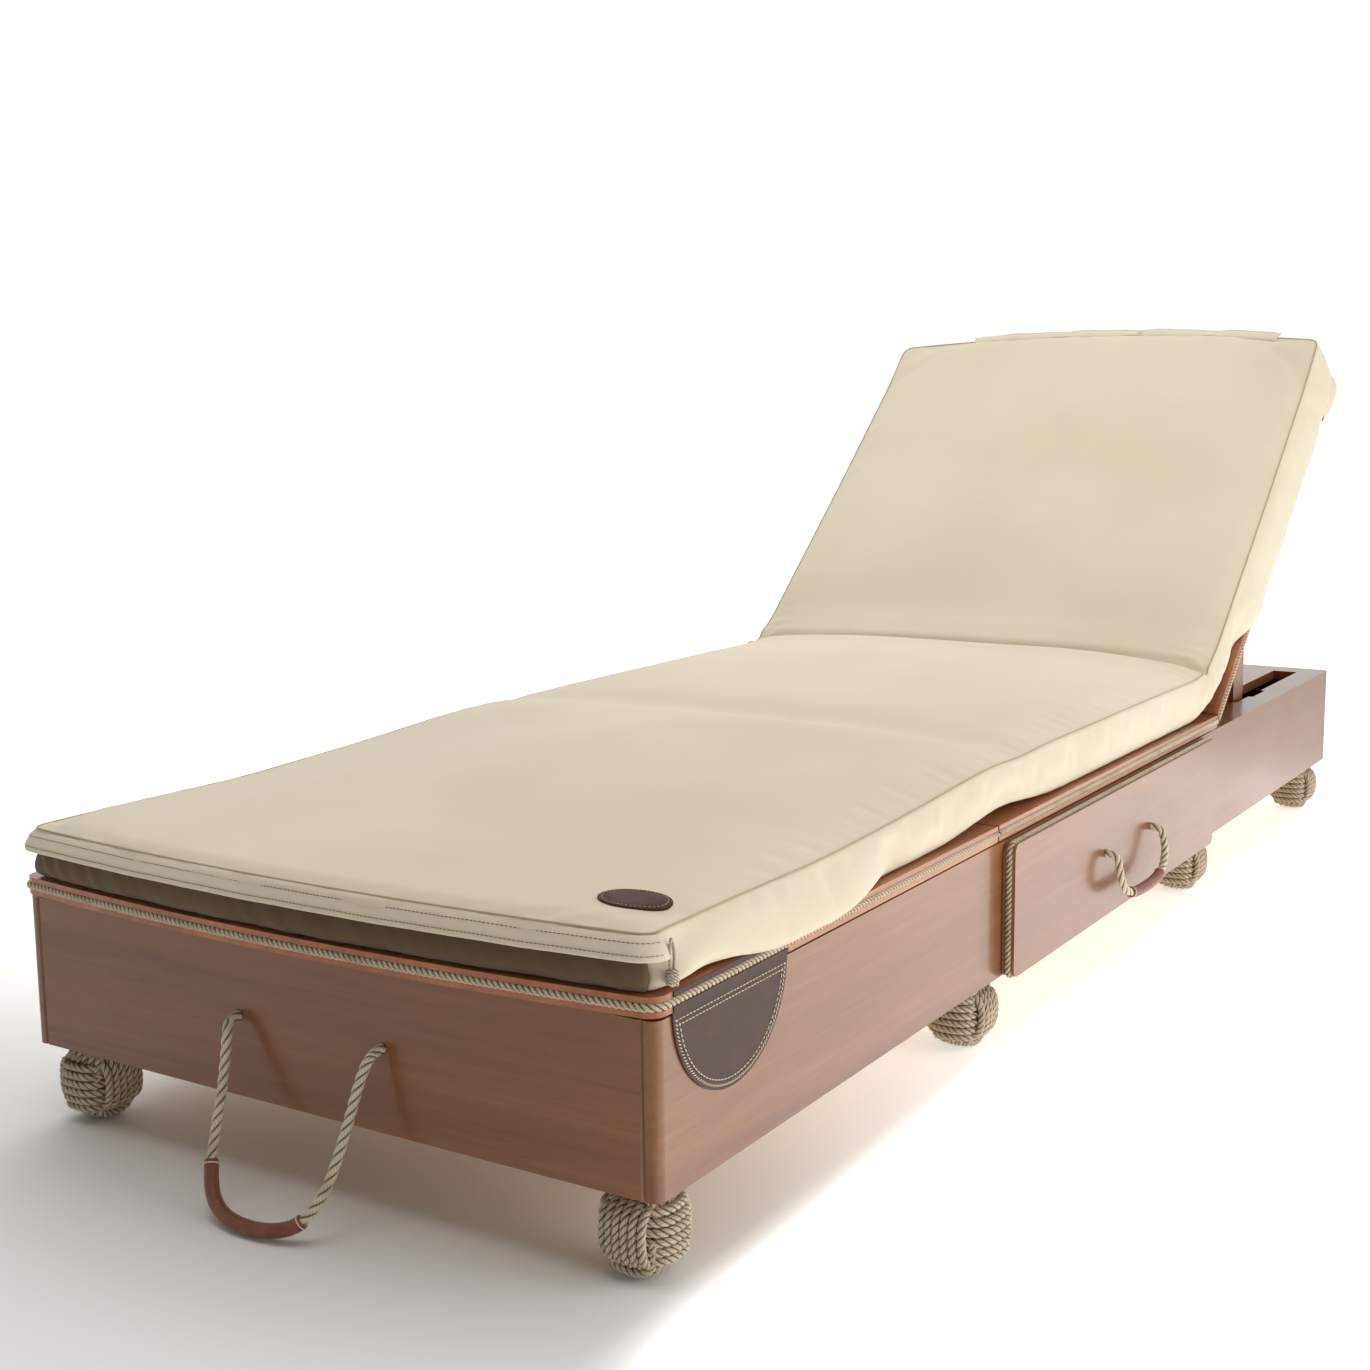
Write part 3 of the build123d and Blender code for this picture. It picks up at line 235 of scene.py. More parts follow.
def metalFinish(name, tone, dullTone):
    # Fine noise drawn out across X is the brushing, over cloudy dull patches
    finish = Finish(name, Metallic=1.0)
    brushed = finish.noise(finish.place((20, 400, 400)), 4.0, 3.0)
    dull = finish.noise(finish.place(), 40.0, 3.0)
    return finish.into(Base_Color=finish.mix(dull * 0.4, tone, dullTone), Roughness=brushed * 0.2 + 0.28,
                       Normal=finish.bump(brushed, 0.1, 0.0002))


finishes = {
    "mahoganyX": woodFinish("mahogany_across", woodTones["mahogany"], "X"),
    "mahoganyY": woodFinish("mahogany_along", woodTones["mahogany"], "Y"),
    "mahoganyZ": woodFinish("mahogany_upright", woodTones["mahogany"], "Z"),
    "panel": woodFinish("panel_wood", woodTones["panel"], "Y"),
    "birch": woodFinish("birch_ply", woodTones["birch"], "X"),
    "edgeRope": ropeFinish("edge_rope_lay", ropeTones["edge"]),
    "knotRope": ropeFinish("knot_rope_lay", ropeTones["knot"]),
    "pullRope": ropeFinish("pull_rope_lay", ropeTones["pull"]),
    "darkLeather": leatherFinish("dark_leather", paint(68, 51, 44), paint(94, 74, 65), 1400.0, 0.5, 0.04),
    "tanLeather": leatherFinish("tan_leather", paint(122, 70, 50), paint(160, 100, 74), 1800.0, 0.36),
    "patchLeather": leatherFinish("patch_leather", paint(66, 38, 30), paint(92, 58, 46), 1400.0, 0.6, 0.0),
    "canvas": canvasFinish("canvas", paint(213, 203, 183), paint(196, 184, 160)),
    # darker canvas for the cushion's seam lines: painted shade along the seams
    "seamShadeCanvas": canvasFinish("seam_canvas_painted_shade", paint(176, 162, 132), paint(158, 144, 114)),
    # dark cloth of the zip's tape, which also serves as painted shade on the lower boxing under the placket
    "zipTapeAndShadeCloth": canvasFinish("zip_tape_and_painted_shade", paint(106, 88, 64), paint(76, 62, 44), 0.0006),
    "weave": canvasFinish("tag_weave", paint(204, 198, 190), paint(170, 160, 152), 0.0005),
    "zipCoil": leatherFinish("zip_coil", paint(62, 50, 34), paint(84, 70, 50), 3000.0, 0.45),
    "darkThread": leatherFinish("dark_thread", paint(120, 104, 78), paint(140, 124, 98), 3000.0, 0.6),
    "tanThread": leatherFinish("tan_thread", paint(176, 142, 114), paint(150, 114, 90), 3000.0, 0.6),
    "thread": leatherFinish("thread", paint(226, 212, 186), paint(206, 190, 160), 3000.0, 0.6),
    "steel": metalFinish("brushed_steel", paint(188, 182, 172), paint(120, 112, 100)),
}
print("finishes made")

# Which finish each CAD node shows
nodeFinish = {
    "mahoganyX": ["front_board", "rear_board"],
    "mahoganyY": ["side_board_left", "side_board_right", "rear_deck", "drawer_front"],
    "mahoganyZ": ["prop_arm_left", "prop_arm_right"],
    "panel": ["foot_deck_panel", "middle_deck_panel", "backrest_panel"],
    "birch": ["bottom_board", "corner_blocks", "cross_rails", "deck_ledges", "prop_cradles", "foot_dowels",
              "drawer_dividers", "drawer_sides", "drawer_back", "drawer_bottom"],
    "steel": ["hinge_leaves_fixed", "hinge_leaves_moving", "hinge_pins", "prop_brackets", "prop_pins",
              "slides_fixed", "slides_moving"],
    "pullRope": ["front_pull_knots", "drawer_pull_knots"],
    "darkLeather": ["leather_flap", "flap_edging"],
    "weave": ["woven_tag"],
}
for finishName, members in nodeFinish.items():
    for member in members:
        nodes[member].data.materials.clear()
        nodes[member].data.materials.append(finishes[finishName])


# Surfaces from grids


def unit(vectors):  # each vector divided by its own length
    return vectors / np.linalg.norm(vectors, axis=-1, keepdims=True)


def gridSkin(grid, uv, wrapAround=True, capEnds=False, closed=False):
    # A grid of points, rows along and columns around, as one skin of quads. The map has one more row or
    # column where the grid wraps
    rows, columns = grid.shape[:2]
    row, column = np.meshgrid(np.arange(rows if closed else rows - 1),
                              np.arange(columns if wrapAround else columns - 1), indexing="ij")
    nextRow, ahead = (row + 1) % rows, (column + 1) % columns
    corners = np.stack([row * columns + column, row * columns + ahead, nextRow * columns + ahead,
                        nextRow * columns + column], axis=-1).reshape(-1)
    cornerUv = np.stack([uv[row, column], uv[row, column + 1], uv[row + 1, column + 1], uv[row + 1, column]],
                        axis=-2).reshape(-1, 2)
    sizes = np.full(row.size, 4)
    if capEnds:
        first, last = np.arange(columns)[::-1], (rows - 1) * columns + np.arange(columns)
        corners = np.concatenate([corners, first, last])
        cornerUv = np.concatenate([cornerUv, uv[0, :columns][::-1], uv[-1, :columns]])
        sizes = np.append(sizes, [columns, columns])
    return grid.reshape(-1, 3), corners, sizes, cornerUv


def quadSkin(points, faces, uv):  # points, the quads between them by number, and each point's map
    return points, faces.ravel(), np.full(len(faces), 4), uv[faces.ravel()]


def gridFaces(index):  # the quads of a grid of point numbers
    return np.stack([index[:-1, :-1], index[:-1, 1:], index[1:, 1:], index[1:, :-1]], axis=-1).reshape(-1, 4)


def ringFaces(loops, closed):  # the quads between each loop of point numbers and the next
    rings = [np.stack([low, np.roll(low, -1), np.roll(high, -1), high], axis=-1)
             for low, high in zip(loops, loops[1:])]
    return rings if closed else [ring[:-1] for ring in rings]


def fillMesh(name, skins):  # one mesh of several skins
    points, corners, sizes, cornerUv = zip(*skins)
    starts = np.cumsum([0] + [len(part) for part in points[:-1]])
    corners = np.concatenate([part + start for part, start in zip(corners, starts)])
    points, sizes, cornerUv = [np.concatenate(parts) for parts in (points, sizes, cornerUv)]
    mesh = bpy.data.meshes.new(name)
    mesh.vertices.add(len(points))
    mesh.vertices.foreach_set("co", points.astype(np.float32).ravel())
    mesh.loops.add(len(corners))
    mesh.loops.foreach_set("vertex_index", corners.astype(np.int32))
    mesh.polygons.add(len(sizes))
    mesh.polygons.foreach_set("loop_start", np.concatenate([[0], np.cumsum(sizes)[:-1]]).astype(np.int32))
    mesh.polygons.foreach_set("loop_total", sizes.astype(np.int32))
    mesh.polygons.foreach_set("use_smooth", np.ones(len(sizes), bool))
    mesh.uv_layers.new(name="cloth").data.foreach_set("uv", cornerUv.astype(np.float32).ravel())
    mesh.update(calc_edges=True)
    mesh.validate()
    return mesh


def addPiece(name, skins, finish):  # an object at the origin, with its place in its mesh
    piece = link(bpy.data.objects.new(name, fillMesh(name, skins)))
    piece.data.materials.append(finishes[finish])
    return piece


def show(name, skins, finish, body=None, replaced=()):  # a piece of the lounger
    piece = addPiece(name, skins, finish)
    if body:
        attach(piece, body)
    if replaced:
        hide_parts(*replaced)
    return piece


def evenPath(points, step):
    # The same line with its points a step apart, measured along it
    gaps = np.linalg.norm(np.diff(points, axis=0), axis=1)
    along = np.concatenate([[0], np.cumsum(gaps)])
    places = np.linspace(0, along[-1], max(2, round(along[-1] / step) + 1))
    return np.stack([np.interp(places, along, points[:, axis]) for axis in range(3)], axis=1), places


def frames(path, reference, closed=False):
    # Two normals for each point: one across its tangent and a reference direction, which no tangent is
    # along, and one across that and the tangent
    step = np.roll(path, -1, axis=0) - np.roll(path, 1, axis=0) if closed else np.gradient(path, axis=0)
    tangent = unit(step)
    across = unit(np.cross(tangent, np.broadcast_to(reference, path.shape)))
    return np.cross(across, tangent), across


def tubeGrid(path, radii, reference, around, turn=0.0, outline=None, closed=False):
    # A circle, or an outline that is a function of the angle, carried along a path and turned as it goes
    normal, across = frames(path, reference, closed)
    angle = np.linspace(0, 2 * math.pi, around, endpoint=False)
    radius = np.broadcast_to(np.reshape(radii, (-1, 1)), (len(path), around))
    radius = radius * outline(angle) if outline else radius
    whole = angle + np.reshape(turn, (-1, 1))
    return (path[:, None] + (radius * np.cos(whole))[..., None] * normal[:, None]
            + (radius * np.sin(whole))[..., None] * across[:, None])


def tubeUv(places, around):  # u is the share of the way round, and v the place along
    u, v = np.meshgrid(np.linspace(0, 1, around + 1), places)
    return np.stack([u, v], axis=-1)


def strandOutline(angle):  # one less the lay's depth, plus that depth times a power of the cosine's size
    depth = ropeLay["depth"]
    return 1 - depth + depth * np.abs(np.cos(ropeLay["strands"] / 2 * angle))**ropeLay["sharpness"]


def ropeSkin(points, diameter, pitch, reference, step, around, closed=False):
    # A round of strands that turns once in each pitch along an evenly divided path
    path, places = evenPath(points, step)
    turns = places / pitch
    if closed:
        turns = places * round(places[-1] / pitch) / places[-1]
        path = path[:-1]
    angle = turns[:len(path)] * 2 * math.pi
    grid = tubeGrid(path, diameter / 2, reference, around, angle, strandOutline, closed)
    # u starts in a valley between two strands, and v runs along the rope in metres
    uv = tubeUv(places, around) + np.array([0.5 / ropeLay["strands"], 0])
    return gridSkin(grid, uv, capEnds=not closed, closed=closed)


# Camera, floor and light
camera = dict(place=(1.1589, -2.2183, 0.7328), yaw=0.5677, pitch=0.1591, roll=-0.0111, focal=1888.06,
              frame=1370)


def buildCamera(settings):
    # Axes from the yaw and the downward pitch, then turned by the roll. The focal length and the frame are in
    # the photograph's pixels
    yaw, pitch, roll = settings["yaw"], settings["pitch"], settings["roll"]
    forward = Vector((-math.sin(yaw) * math.cos(pitch), math.cos(yaw) * math.cos(pitch), -math.sin(pitch)))
    right = Vector((math.cos(yaw), math.sin(yaw), 0))
    up = right.cross(forward)
    turned = right * math.cos(roll) + up * math.sin(roll)
    upright = up * math.cos(roll) - right * math.sin(roll)
    data = bpy.data.cameras.new("camera")
    data.lens = data.sensor_width * settings["focal"] / settings["frame"]
    data.clip_start = 0.05
    viewer = link(bpy.data.objects.new("camera", data))
    axes = Matrix((turned, upright, -forward)).transposed()
    viewer.matrix_world = Matrix.Translation(settings["place"]) @ axes.to_4x4()
    bpy.context.scene.camera = viewer


buildCamera(camera)

lamps = {
    "overhead": dict(place=(-1.0, 0.8, 2.5), aim=(0, 0, 0.3), size=(2.2, 2.6), power=17),
    "rightSide": dict(place=(3.2, 0.2, 1.3), aim=(0.3, -0.1, 0.2), size=(2.6, 1.8), power=33,
                      tint=(1.0, 0.985, 0.97)),
    "behind": dict(place=(-2.2, 2.8, 2.2), aim=(0, 0.4, 0.4), size=(2.4, 2.0), power=15),
    "frontTop": dict(place=(0.2, -1.5, 3.1), aim=(0, 0.5, 0.5), size=(1.4, 1.4), power=15),
    "onBackrest": dict(place=(0, -0.35, 2.1), aim=(0, 0.75, 0.6), size=(0.9, 0.5), power=1.5, spread=70),
}


def buildLight(name, lamp):  # a rectangle that faces its aim; its spread is in degrees
    data = bpy.data.lights.new(name, "AREA")
    data.shape, data.size, data.size_y = "RECTANGLE", *lamp["size"]
    data.energy, data.color = lamp["power"], lamp.get("tint", (1.0, 0.98, 0.95))
    data.spread = math.radians(lamp.get("spread", 180))
    light = link(bpy.data.objects.new(name, data))
    light.location, light.visible_camera = lamp["place"], False
    toAim = Vector(lamp["aim"]) - Vector(lamp["place"])
    light.rotation_euler = toAim.to_track_quat("-Z", "Y").to_euler()


for lampName, lamp in lamps.items():
    buildLight(lampName, lamp)

# The studio's walls: bright behind the lounger and all round at the horizon, darker high up in front of it
studio = dict(behind=(1.0, 0.995, 0.985, 1), before=(0.135, 0.13, 0.122, 1), strength=1.0,
              sideways=(-0.45, 0.25), horizon=(0.34, 0.12))
bpy.context.scene.world = bpy.data.worlds.new("studio")
walls = Finish("studio", bpy.context.scene.world, "Background", Strength=studio["strength"])
_, wallY, wallZ = walls.parts(walls.add("ShaderNodeTexCoord"))
bright = wallY.rise(*studio["sideways"], "LINEAR").math("MAXIMUM", wallZ.rise(*studio["horizon"], "LINEAR"))
walls.into(Color=walls.mix(bright, studio["before"], studio["behind"]))
bpy.context.scene.view_settings.view_transform = "Standard"

# The floor glows like a lit sheet, most of all on the right; an oval in front of the lounger stays plain
ground = dict(reach=14, points=9, ovalCentre=(-0.15, -1.4), ovalSpread=(0.95, 0.30), glow=0.55,
              besideGlow=3.7, tone=(0.86, 0.855, 0.845, 1), paleTone=(0.89, 0.885, 0.875, 1),
              light=(1, 0.99, 0.975, 1))
floorFinish = Finish("floor", Roughness=0.7, Emission_Strength=1.0)
alongX, alongY, _ = floorFinish.parts(floorFinish.place())
ovalX, ovalY = alongX - ground["ovalCentre"][0], alongY - ground["ovalCentre"][1]
fromFront = (ovalX * ovalX / ground["ovalSpread"][0] + ovalY * ovalY / ground["ovalSpread"][1]).math("SQRT")
besideBox = alongX.rise(0.36, 0.5) * alongY.rise(-1.25, -0.95) * (1 - alongY.rise(0.7, 1.5))
besideBox = besideBox * (1 - alongY.rise(-0.5, 0.2) * 0.5)
behindBox = alongY.rise(1.0, 1.8) * alongX.rise(0.3, 0.5)
behindBox = behindBox * (1 - alongX.rise(1.2, 2.2)) * (1 - alongY.rise(4.0, 6.0))
glow = fromFront.rise(0.75, 2.2) * (1 - behindBox * 0.8) * ground["glow"] + besideBox * ground["besideGlow"]
cloud = floorFinish.noise(floorFinish.place(), 2.0)
finishes["floor"] = floorFinish.into(Base_Color=floorFinish.mix(cloud, ground["tone"], ground["paleTone"]),
                                     Emission_Color=floorFinish.mix(glow, (0, 0, 0, 1), ground["light"]))
floorSpan = np.linspace(-ground["reach"], ground["reach"], ground["points"])
floorGrid = np.stack([*np.meshgrid(floorSpan, floorSpan), np.zeros((len(floorSpan),) * 2)], axis=-1)
addPiece("floor", [gridSkin(floorGrid, floorGrid[..., :2], wrapAround=False)], "floor")
print("camera, lights and floor made")

# Pull ropes, each with a leather grip and two threads sewn round it. Half a route runs from the middle of
# the loop to its right or rear hole, as box coordinates, and the mirror makes the other half
pullRope = dict(diameter=0.010, pitch=0.034, step=0.0012, around=18, gripRadius=0.0067, gripAround=20,
                gripEdge=0.0007, gripEdgeReach=0.0015, threadInset=0.008, threadOut=0.0001,
                threadRadius=0.0006)
pulls = {
    "frontPull": dict(
        half=[(0.020, -0.0855, 0.0086), (0.051, -0.076, 0.016), (0.067, -0.0625, 0.039),
              (0.073, -0.0495, 0.067), (0.0765, -0.034, 0.104), (0.0815, -0.022, 0.142),
              (0.087, -0.013, 0.161), (0.087, 0, 0.161)],
        middle=(0, 0, 0), mirror=(-1, 1, 1), reference=(0, 0.8, 0.6), grip=(0.3, 0.635), body="box",
        node="front_pull"),
    "drawerPull": dict(
        half=[(0.4145, 0.020, 0.1048), (0.4134, 0.052, 0.1072), (0.4115, 0.073, 0.116),
              (0.4098, 0.0825, 0.132), (0.4075, 0.083, 0.147), (0.404, 0.0816, 0.161),
              (0.390, 0.0816, 0.161)],
        middle=(0, 1.0543, 0), mirror=(1, -1, 1), reference=(0.6, 0, 0.8), grip=(0.29, 0.71), body="drawer",
        node="drawer_pull"),
}


def cordLine(name, points):
    # The smooth line that a cord follows, sampled from its spline
    data = bpy.data.curves.new(name, "CURVE")
    data.dimensions, data.resolution_u = "3D", 16
    spline = data.splines.new("NURBS")
    spline.points.add(len(points) - 1)
    spline.points.foreach_set("co", np.column_stack([points, np.ones(len(points))]).ravel())
    spline.order_u, spline.use_endpoint_u = 3, True
    holder = bpy.data.objects.new(name, data)
    mesh = bpy.data.meshes.new_from_object(holder)
    line = np.zeros(len(mesh.vertices) * 3)
    mesh.vertices.foreach_get("co", line)
    bpy.data.objects.remove(holder)
    bpy.data.meshes.remove(mesh)
    return line.reshape(-1, 3)


def threadRing(path, share, reference, sides=6):
    # A circle about the path at one place, drawn as a thin tube
    row = round(share * (len(path) - 1))
    normal, across = [side[row] for side in frames(path, reference)]
    angle = np.linspace(0, 2 * math.pi, 25)[:, None]
    radius = pullRope["gripRadius"] + pullRope["threadOut"]
    circle = path[row] + radius * (np.cos(angle) * normal + np.sin(angle) * across)
    grid = tubeGrid(circle, pullRope["threadRadius"], np.cross(normal, across), sides)
    return gridSkin(grid, tubeUv(np.linspace(0, 2 * math.pi * radius, len(grid)), sides))


def buildPull(name, settings):
    # The rope is laid along the whole loop, from its mirrored end to its own end
    half = np.array(settings["half"])
    route = onBox(np.concatenate([half[::-1] * settings["mirror"], half]) + settings["middle"])
    line = cordLine(name, route)
    step, reference, body, node = pullRope["step"], settings["reference"], settings["body"], settings["node"]
    path, places = evenPath(line, step)
    skin = ropeSkin(line, pullRope["diameter"], pullRope["pitch"], reference, step, pullRope["around"])
    rope = show(name, [skin], "pullRope", body, [node + "_rope"])
    # The grip is a tube round the rope, which draws in towards its two ends as a falling exponential
    first, last = [round(share * (len(path) - 1)) for share in settings["grip"]]
    order = np.arange(last - first)
    fromEnd = np.minimum(order, order[::-1]) * step
    radii = pullRope["gripRadius"] - pullRope["gripEdge"] * np.exp(-fromEnd / pullRope["gripEdgeReach"])
    grid = tubeGrid(path[first:last], radii, reference, pullRope["gripAround"])
    skin = gridSkin(grid, tubeUv(places[first:last], pullRope["gripAround"]), capEnds=True)
    grip = show(name + "_grip", [skin], "tanLeather", body, [node + "_sleeve"])
    for index, (share, way) in enumerate(zip(settings["grip"], (1, -1))):
        skin = threadRing(path, share + way * pullRope["threadInset"], reference)
        show(f"{name}_thread_{index}", [skin], "thread", body)


for pullName, pull in pulls.items():
    buildPull(pullName, pull)
print("pull ropes made")

# Outlines that several pieces share


def smooth(share):  # 0 to 1, level at both ends
    return share**2 * (3 - 2 * share)


def bell(value, width):  # a falling exponential of the square of the value over the width
    return np.exp(-(value / width)**2)


def window(value, start, stop, soft):  # 1 between start and stop, smooth to 0 at them
    return smooth(np.clip(np.minimum(value - start, stop - value) / soft, 0, 1))


def arc(centre, radius, start, end, count):  # points of a circle from one angle to another
    angle = np.linspace(start, end, count)
    return np.stack([centre[0] + radius * np.cos(angle), centre[1] + radius * np.sin(angle)], axis=1)


def bowOutline(half, rear, front, corner, cornerPoints=24, bowPoints=240):
    # Along the right side, round its corner, along the arc bowed out from the corners, and back on the left
    rise = lounger["bow"]
    radius = (half**2 + rise**2) / (2 * rise)
    bowY = front - rise + radius
    cornerX, cornerY = half - corner, bowY - math.sqrt((radius - corner)**2 - (half - corner)**2)
    turn = math.atan2(bowY - cornerY, cornerX)
    return np.concatenate([[(half, rear)], arc((cornerX, cornerY), corner, 0, -turn, cornerPoints),
                           arc((0, bowY), radius, -turn, turn - math.pi, bowPoints)[1:],
                           arc((-cornerX, cornerY), corner, turn - math.pi, -math.pi, cornerPoints)[1:],
                           [(-half, rear)]])


def roundCorners(x, y, half, corner, end, way):
    # In the square at each corner of one end, a point keeps its direction from the square's inner corner, and
    # its larger step becomes its distance, so that the square turns into a quarter disc
    sideways, outwards = np.abs(x) - (half - corner), corner - (y - end) * way
    squeeze = np.maximum(sideways, outwards) / (np.hypot(sideways, outwards) + 1e-9)
    inCorner = (sideways > 0) & (outwards > 0)
    return (np.where(inCorner, np.sign(x) * (half - corner + sideways * squeeze), x),
            np.where(inCorner, end + way * (corner - outwards * squeeze), y))


def lifted(outline, height):  # a flat outline, all at one height
    return np.column_stack([outline, np.full(len(outline), height)])


# Ropes round the edges of the panels and of the drawer front. Each panel's run is set by its two ends
edgeRope = dict(diameter=0.008, pitch=0.018, inset=0.001, corner=0.015, step=0.0016, around=12, level=0.24675,
                headLevel=0.00875, foot=(0.669, -0.001), middle=(0.673, 1.455), head=(-0.010, -0.737))
drawerRim = dict(low=(0.689, 0.0825), high=(1.404, 0.231), corner=0.009, x=0.38275)


def buildEdgeRope(name, runs, reference, body, node, closed=False):  # one piece, a rope for each run
    skins = [ropeSkin(run, edgeRope["diameter"], edgeRope["pitch"], reference, edgeRope["step"],
                      edgeRope["around"], closed) for run in runs]
    show(name, skins, "edgeRope", body, [node])


def rimOutline(low, high, corner):
    # A quarter turn about the middle of each corner, and back to the start
    (lowY, lowZ), (highY, highZ) = np.array(low) + corner, np.array(high) - corner
    middles = [(highY, highZ), (lowY, highZ), (lowY, lowZ), (highY, lowZ)]
    outline = np.concatenate([arc(middle, corner, turn * math.pi / 2, (turn + 1) * math.pi / 2, 12)
                              for turn, middle in enumerate(middles)])
    return np.concatenate([outline, outline[:1]])


ropeHalf = lounger["panelHalf"] - edgeRope["inset"]
footRun = lifted(bowOutline(ropeHalf, *edgeRope["foot"], edgeRope["corner"]), edgeRope["level"])
buildEdgeRope("foot_panel_edge", [onBox(footRun)], (0, 0, 1), "box", "foot_deck_rope")
middleRuns = [onBox([(x, y, edgeRope["level"]) for y in edgeRope["middle"]]) for x in (ropeHalf, -ropeHalf)]
buildEdgeRope("middle_panel_edge", middleRuns, (0, 0, 1), "box", "middle_deck_ropes")
headRun = bowOutline(ropeHalf, *edgeRope["head"], edgeRope["corner"]) * (1, -1)
headRun = onBack(lifted(headRun, edgeRope["headLevel"]))
buildEdgeRope("back_panel_edge", [headRun], (0, -sinTilt, cosTilt), "backrest", "backrest_rope")
rimRun = rimOutline(drawerRim["low"], drawerRim["high"], drawerRim["corner"])
rimRope = onBox(np.column_stack([np.full(len(rimRun), drawerRim["x"]), rimRun]))
buildEdgeRope("drawer_rim", [rimRope], (1, 0, 0), "drawer", "drawer_front_rope", closed=True)
print("edge ropes made")

# Feet: each a ball wound from rope in three bands of turns, one round each axis, over a plain core
footWinding = dict(half=0.0385, height=0.0825, diameter=0.0086, pitch=0.021, turns=6, spacing=0.0079,
                   sunk=0.0076, square=2.5, narrowingShare=1.18, step=0.0021, around=10, samples=260,
                   coreInset=0.0115, coreRows=15, coreAround=20, coreMap=0.08, aside=0.333)
footPlaces = {"front": 0.042, "middle": 0.6775, "hinge": 1.438, "rear": 2.048}


def footBand(axis, over, settings):
    # Loops about one axis: squared circles, smaller towards the band's sides, drawn in where the next band
    # crosses over them. On each covered side the rope steps half a rope's width along the axis
    turns, power = settings["turns"], settings["square"]
    t = np.linspace(0, turns, turns * settings["samples"])
    angle = 2 * math.pi * t + math.pi / 2
    halfTurn = 2 * t + 0.5
    step = smooth(np.clip((halfTurn % 1 - 0.3) / 0.4, 0, 1))
    offset = (halfTurn // 1 - 1 + step - turns + 0.5) * settings["spacing"] / 2
    first, second = [np.sign(wave) * np.abs(wave)**(2 / power) for wave in (np.cos(angle), np.sin(angle))]
    middle = settings["half"] - settings["diameter"] / 2
    smaller = (1 - (np.abs(offset) / (middle * settings["narrowingShare"]))**power)**(1 / power)
    covered = np.abs(np.sin(angle))**3 / (np.abs(np.sin(angle))**3 + np.abs(np.cos(angle))**3)
    reach = middle * smaller - settings["sunk"] * covered
    points = np.zeros((len(t), 3))
    points[:, over], points[:, 3 - axis - over], points[:, axis] = reach * first, reach * second, offset
    points[:, 2] *= settings["height"] / 2 / settings["half"]
    return points


def footCore(settings):
    # A round post that fills the gaps: its width is the cube root of one less the cubed height
    level = np.linspace(-1, 1, settings["coreRows"])
    width = (1 - np.abs(level)**3)**(1 / 3) * (settings["half"] - settings["coreInset"])
    line = np.outer(level, (0, 0, settings["height"] / 2 - settings["coreInset"]))
    return line, width


def buildFoot(row, hand, settings):
    # Each band lies over the others on one pair of faces
    sideways = row == "front" and hand == "right"
    order = ((0, 1), (2, 0), (1, 2)) if sideways else ((1, 0), (2, 1), (0, 2))
    side = 1 if hand == "right" else -1
    centre = onBox([settings["aside"] * side, footPlaces[row], settings["height"] / 2])
    skins = [ropeSkin(footBand(axis, over, settings) + centre, settings["diameter"], settings["pitch"],
                      np.eye(3)[axis], settings["step"], settings["around"]) for axis, over in order]
    line, width = footCore(settings)
    core = tubeGrid(line + centre, width, (1, 0, 0), settings["coreAround"])
    coreUv = tubeUv(np.linspace(0, settings["coreMap"], len(line)), settings["coreAround"])
    skins.append(gridSkin(core, coreUv, capEnds=True))
    show(f"{row}_{hand}_knot_foot", skins, "knotRope", "box", [f"foot_knot_{row}_{hand}"])


for footRow in footPlaces:
    for footHand in ("left", "right"):
        buildFoot(footRow, footHand, footWinding)
print("feet wound")

# Cushion: one pad from the foot end to the head end that folds at the hinge
cushion = dict(
    half=0.367, front=0.004, head=0.744, corner=0.013, bendRadius=0.30, bowReach=0.20,
    # Place along the pad, height of its seam above the panel and height of its crown
    stations=[(-0.02, 0.049, 0.049), (0.14, 0.049, 0.054), (0.29, 0.047, 0.064), (0.48, 0.054, 0.080),
              (0.66, 0.064, 0.085), (0.765, 0.063, 0.076), (0.90, 0.063, 0.084), (1.20, 0.062, 0.085),
              (1.38, 0.060, 0.083), (1.45, 0.054, 0.072), (1.56, 0.057, 0.063), (1.86, 0.058, 0.066),
              (2.10, 0.062, 0.072), (2.20, 0.072, 0.084)],
    columns=66, spacing=0.0105, rings=7, seamCrease=0.75,
    # How far its rounded shoulders reach in from the sides and from the ends
    shoulders=(0.26, 0.16),
    crease=dict(depth=0.013, width=0.014, sway=0.004, wrinkle=0.0016, puff=0.004, puffWidth=0.04,
                puffAt=0.07),
    fold=dict(place=0.765, depth=0.0075, width=0.042, slant=0.012),
    underside=dict(lift=0.0012, foldLift=0.012, foldPlace=0.70, foldWidth=0.10),
    # Its sides bulge, tuck in under the placket, and hang over the panel's right edge between these places
    side=dict(bulge=0.007, tuck=0.021, tuckReach=0.03, tuckShare=0.72, pucker=0.0016, overhang=0.018,
              footBulge=(-1, 0.46), footHang=(0.05, 0.43), footDrop=0.030, footSoft=0.15,
              backHang=(0.12, 0.84), backDrop=0.040, backSoft=0.09),
    cloth=dict(pressure=4.0, slack=0.012, most=0.006, steps=20, quality=5, mass=0.02, stiffness=12,
               bending=0.6))
arcLength = cushion["bendRadius"] * lounger["tilt"]
arcReach = cushion["bendRadius"] * math.tan(lounger["tilt"] / 2)
bendAt = lounger["hingeY"] - arcReach
creaseAt = bendAt + arcLength / 2
backStart = bendAt - arcReach + arcLength
padEnd = backStart + cushion["head"]


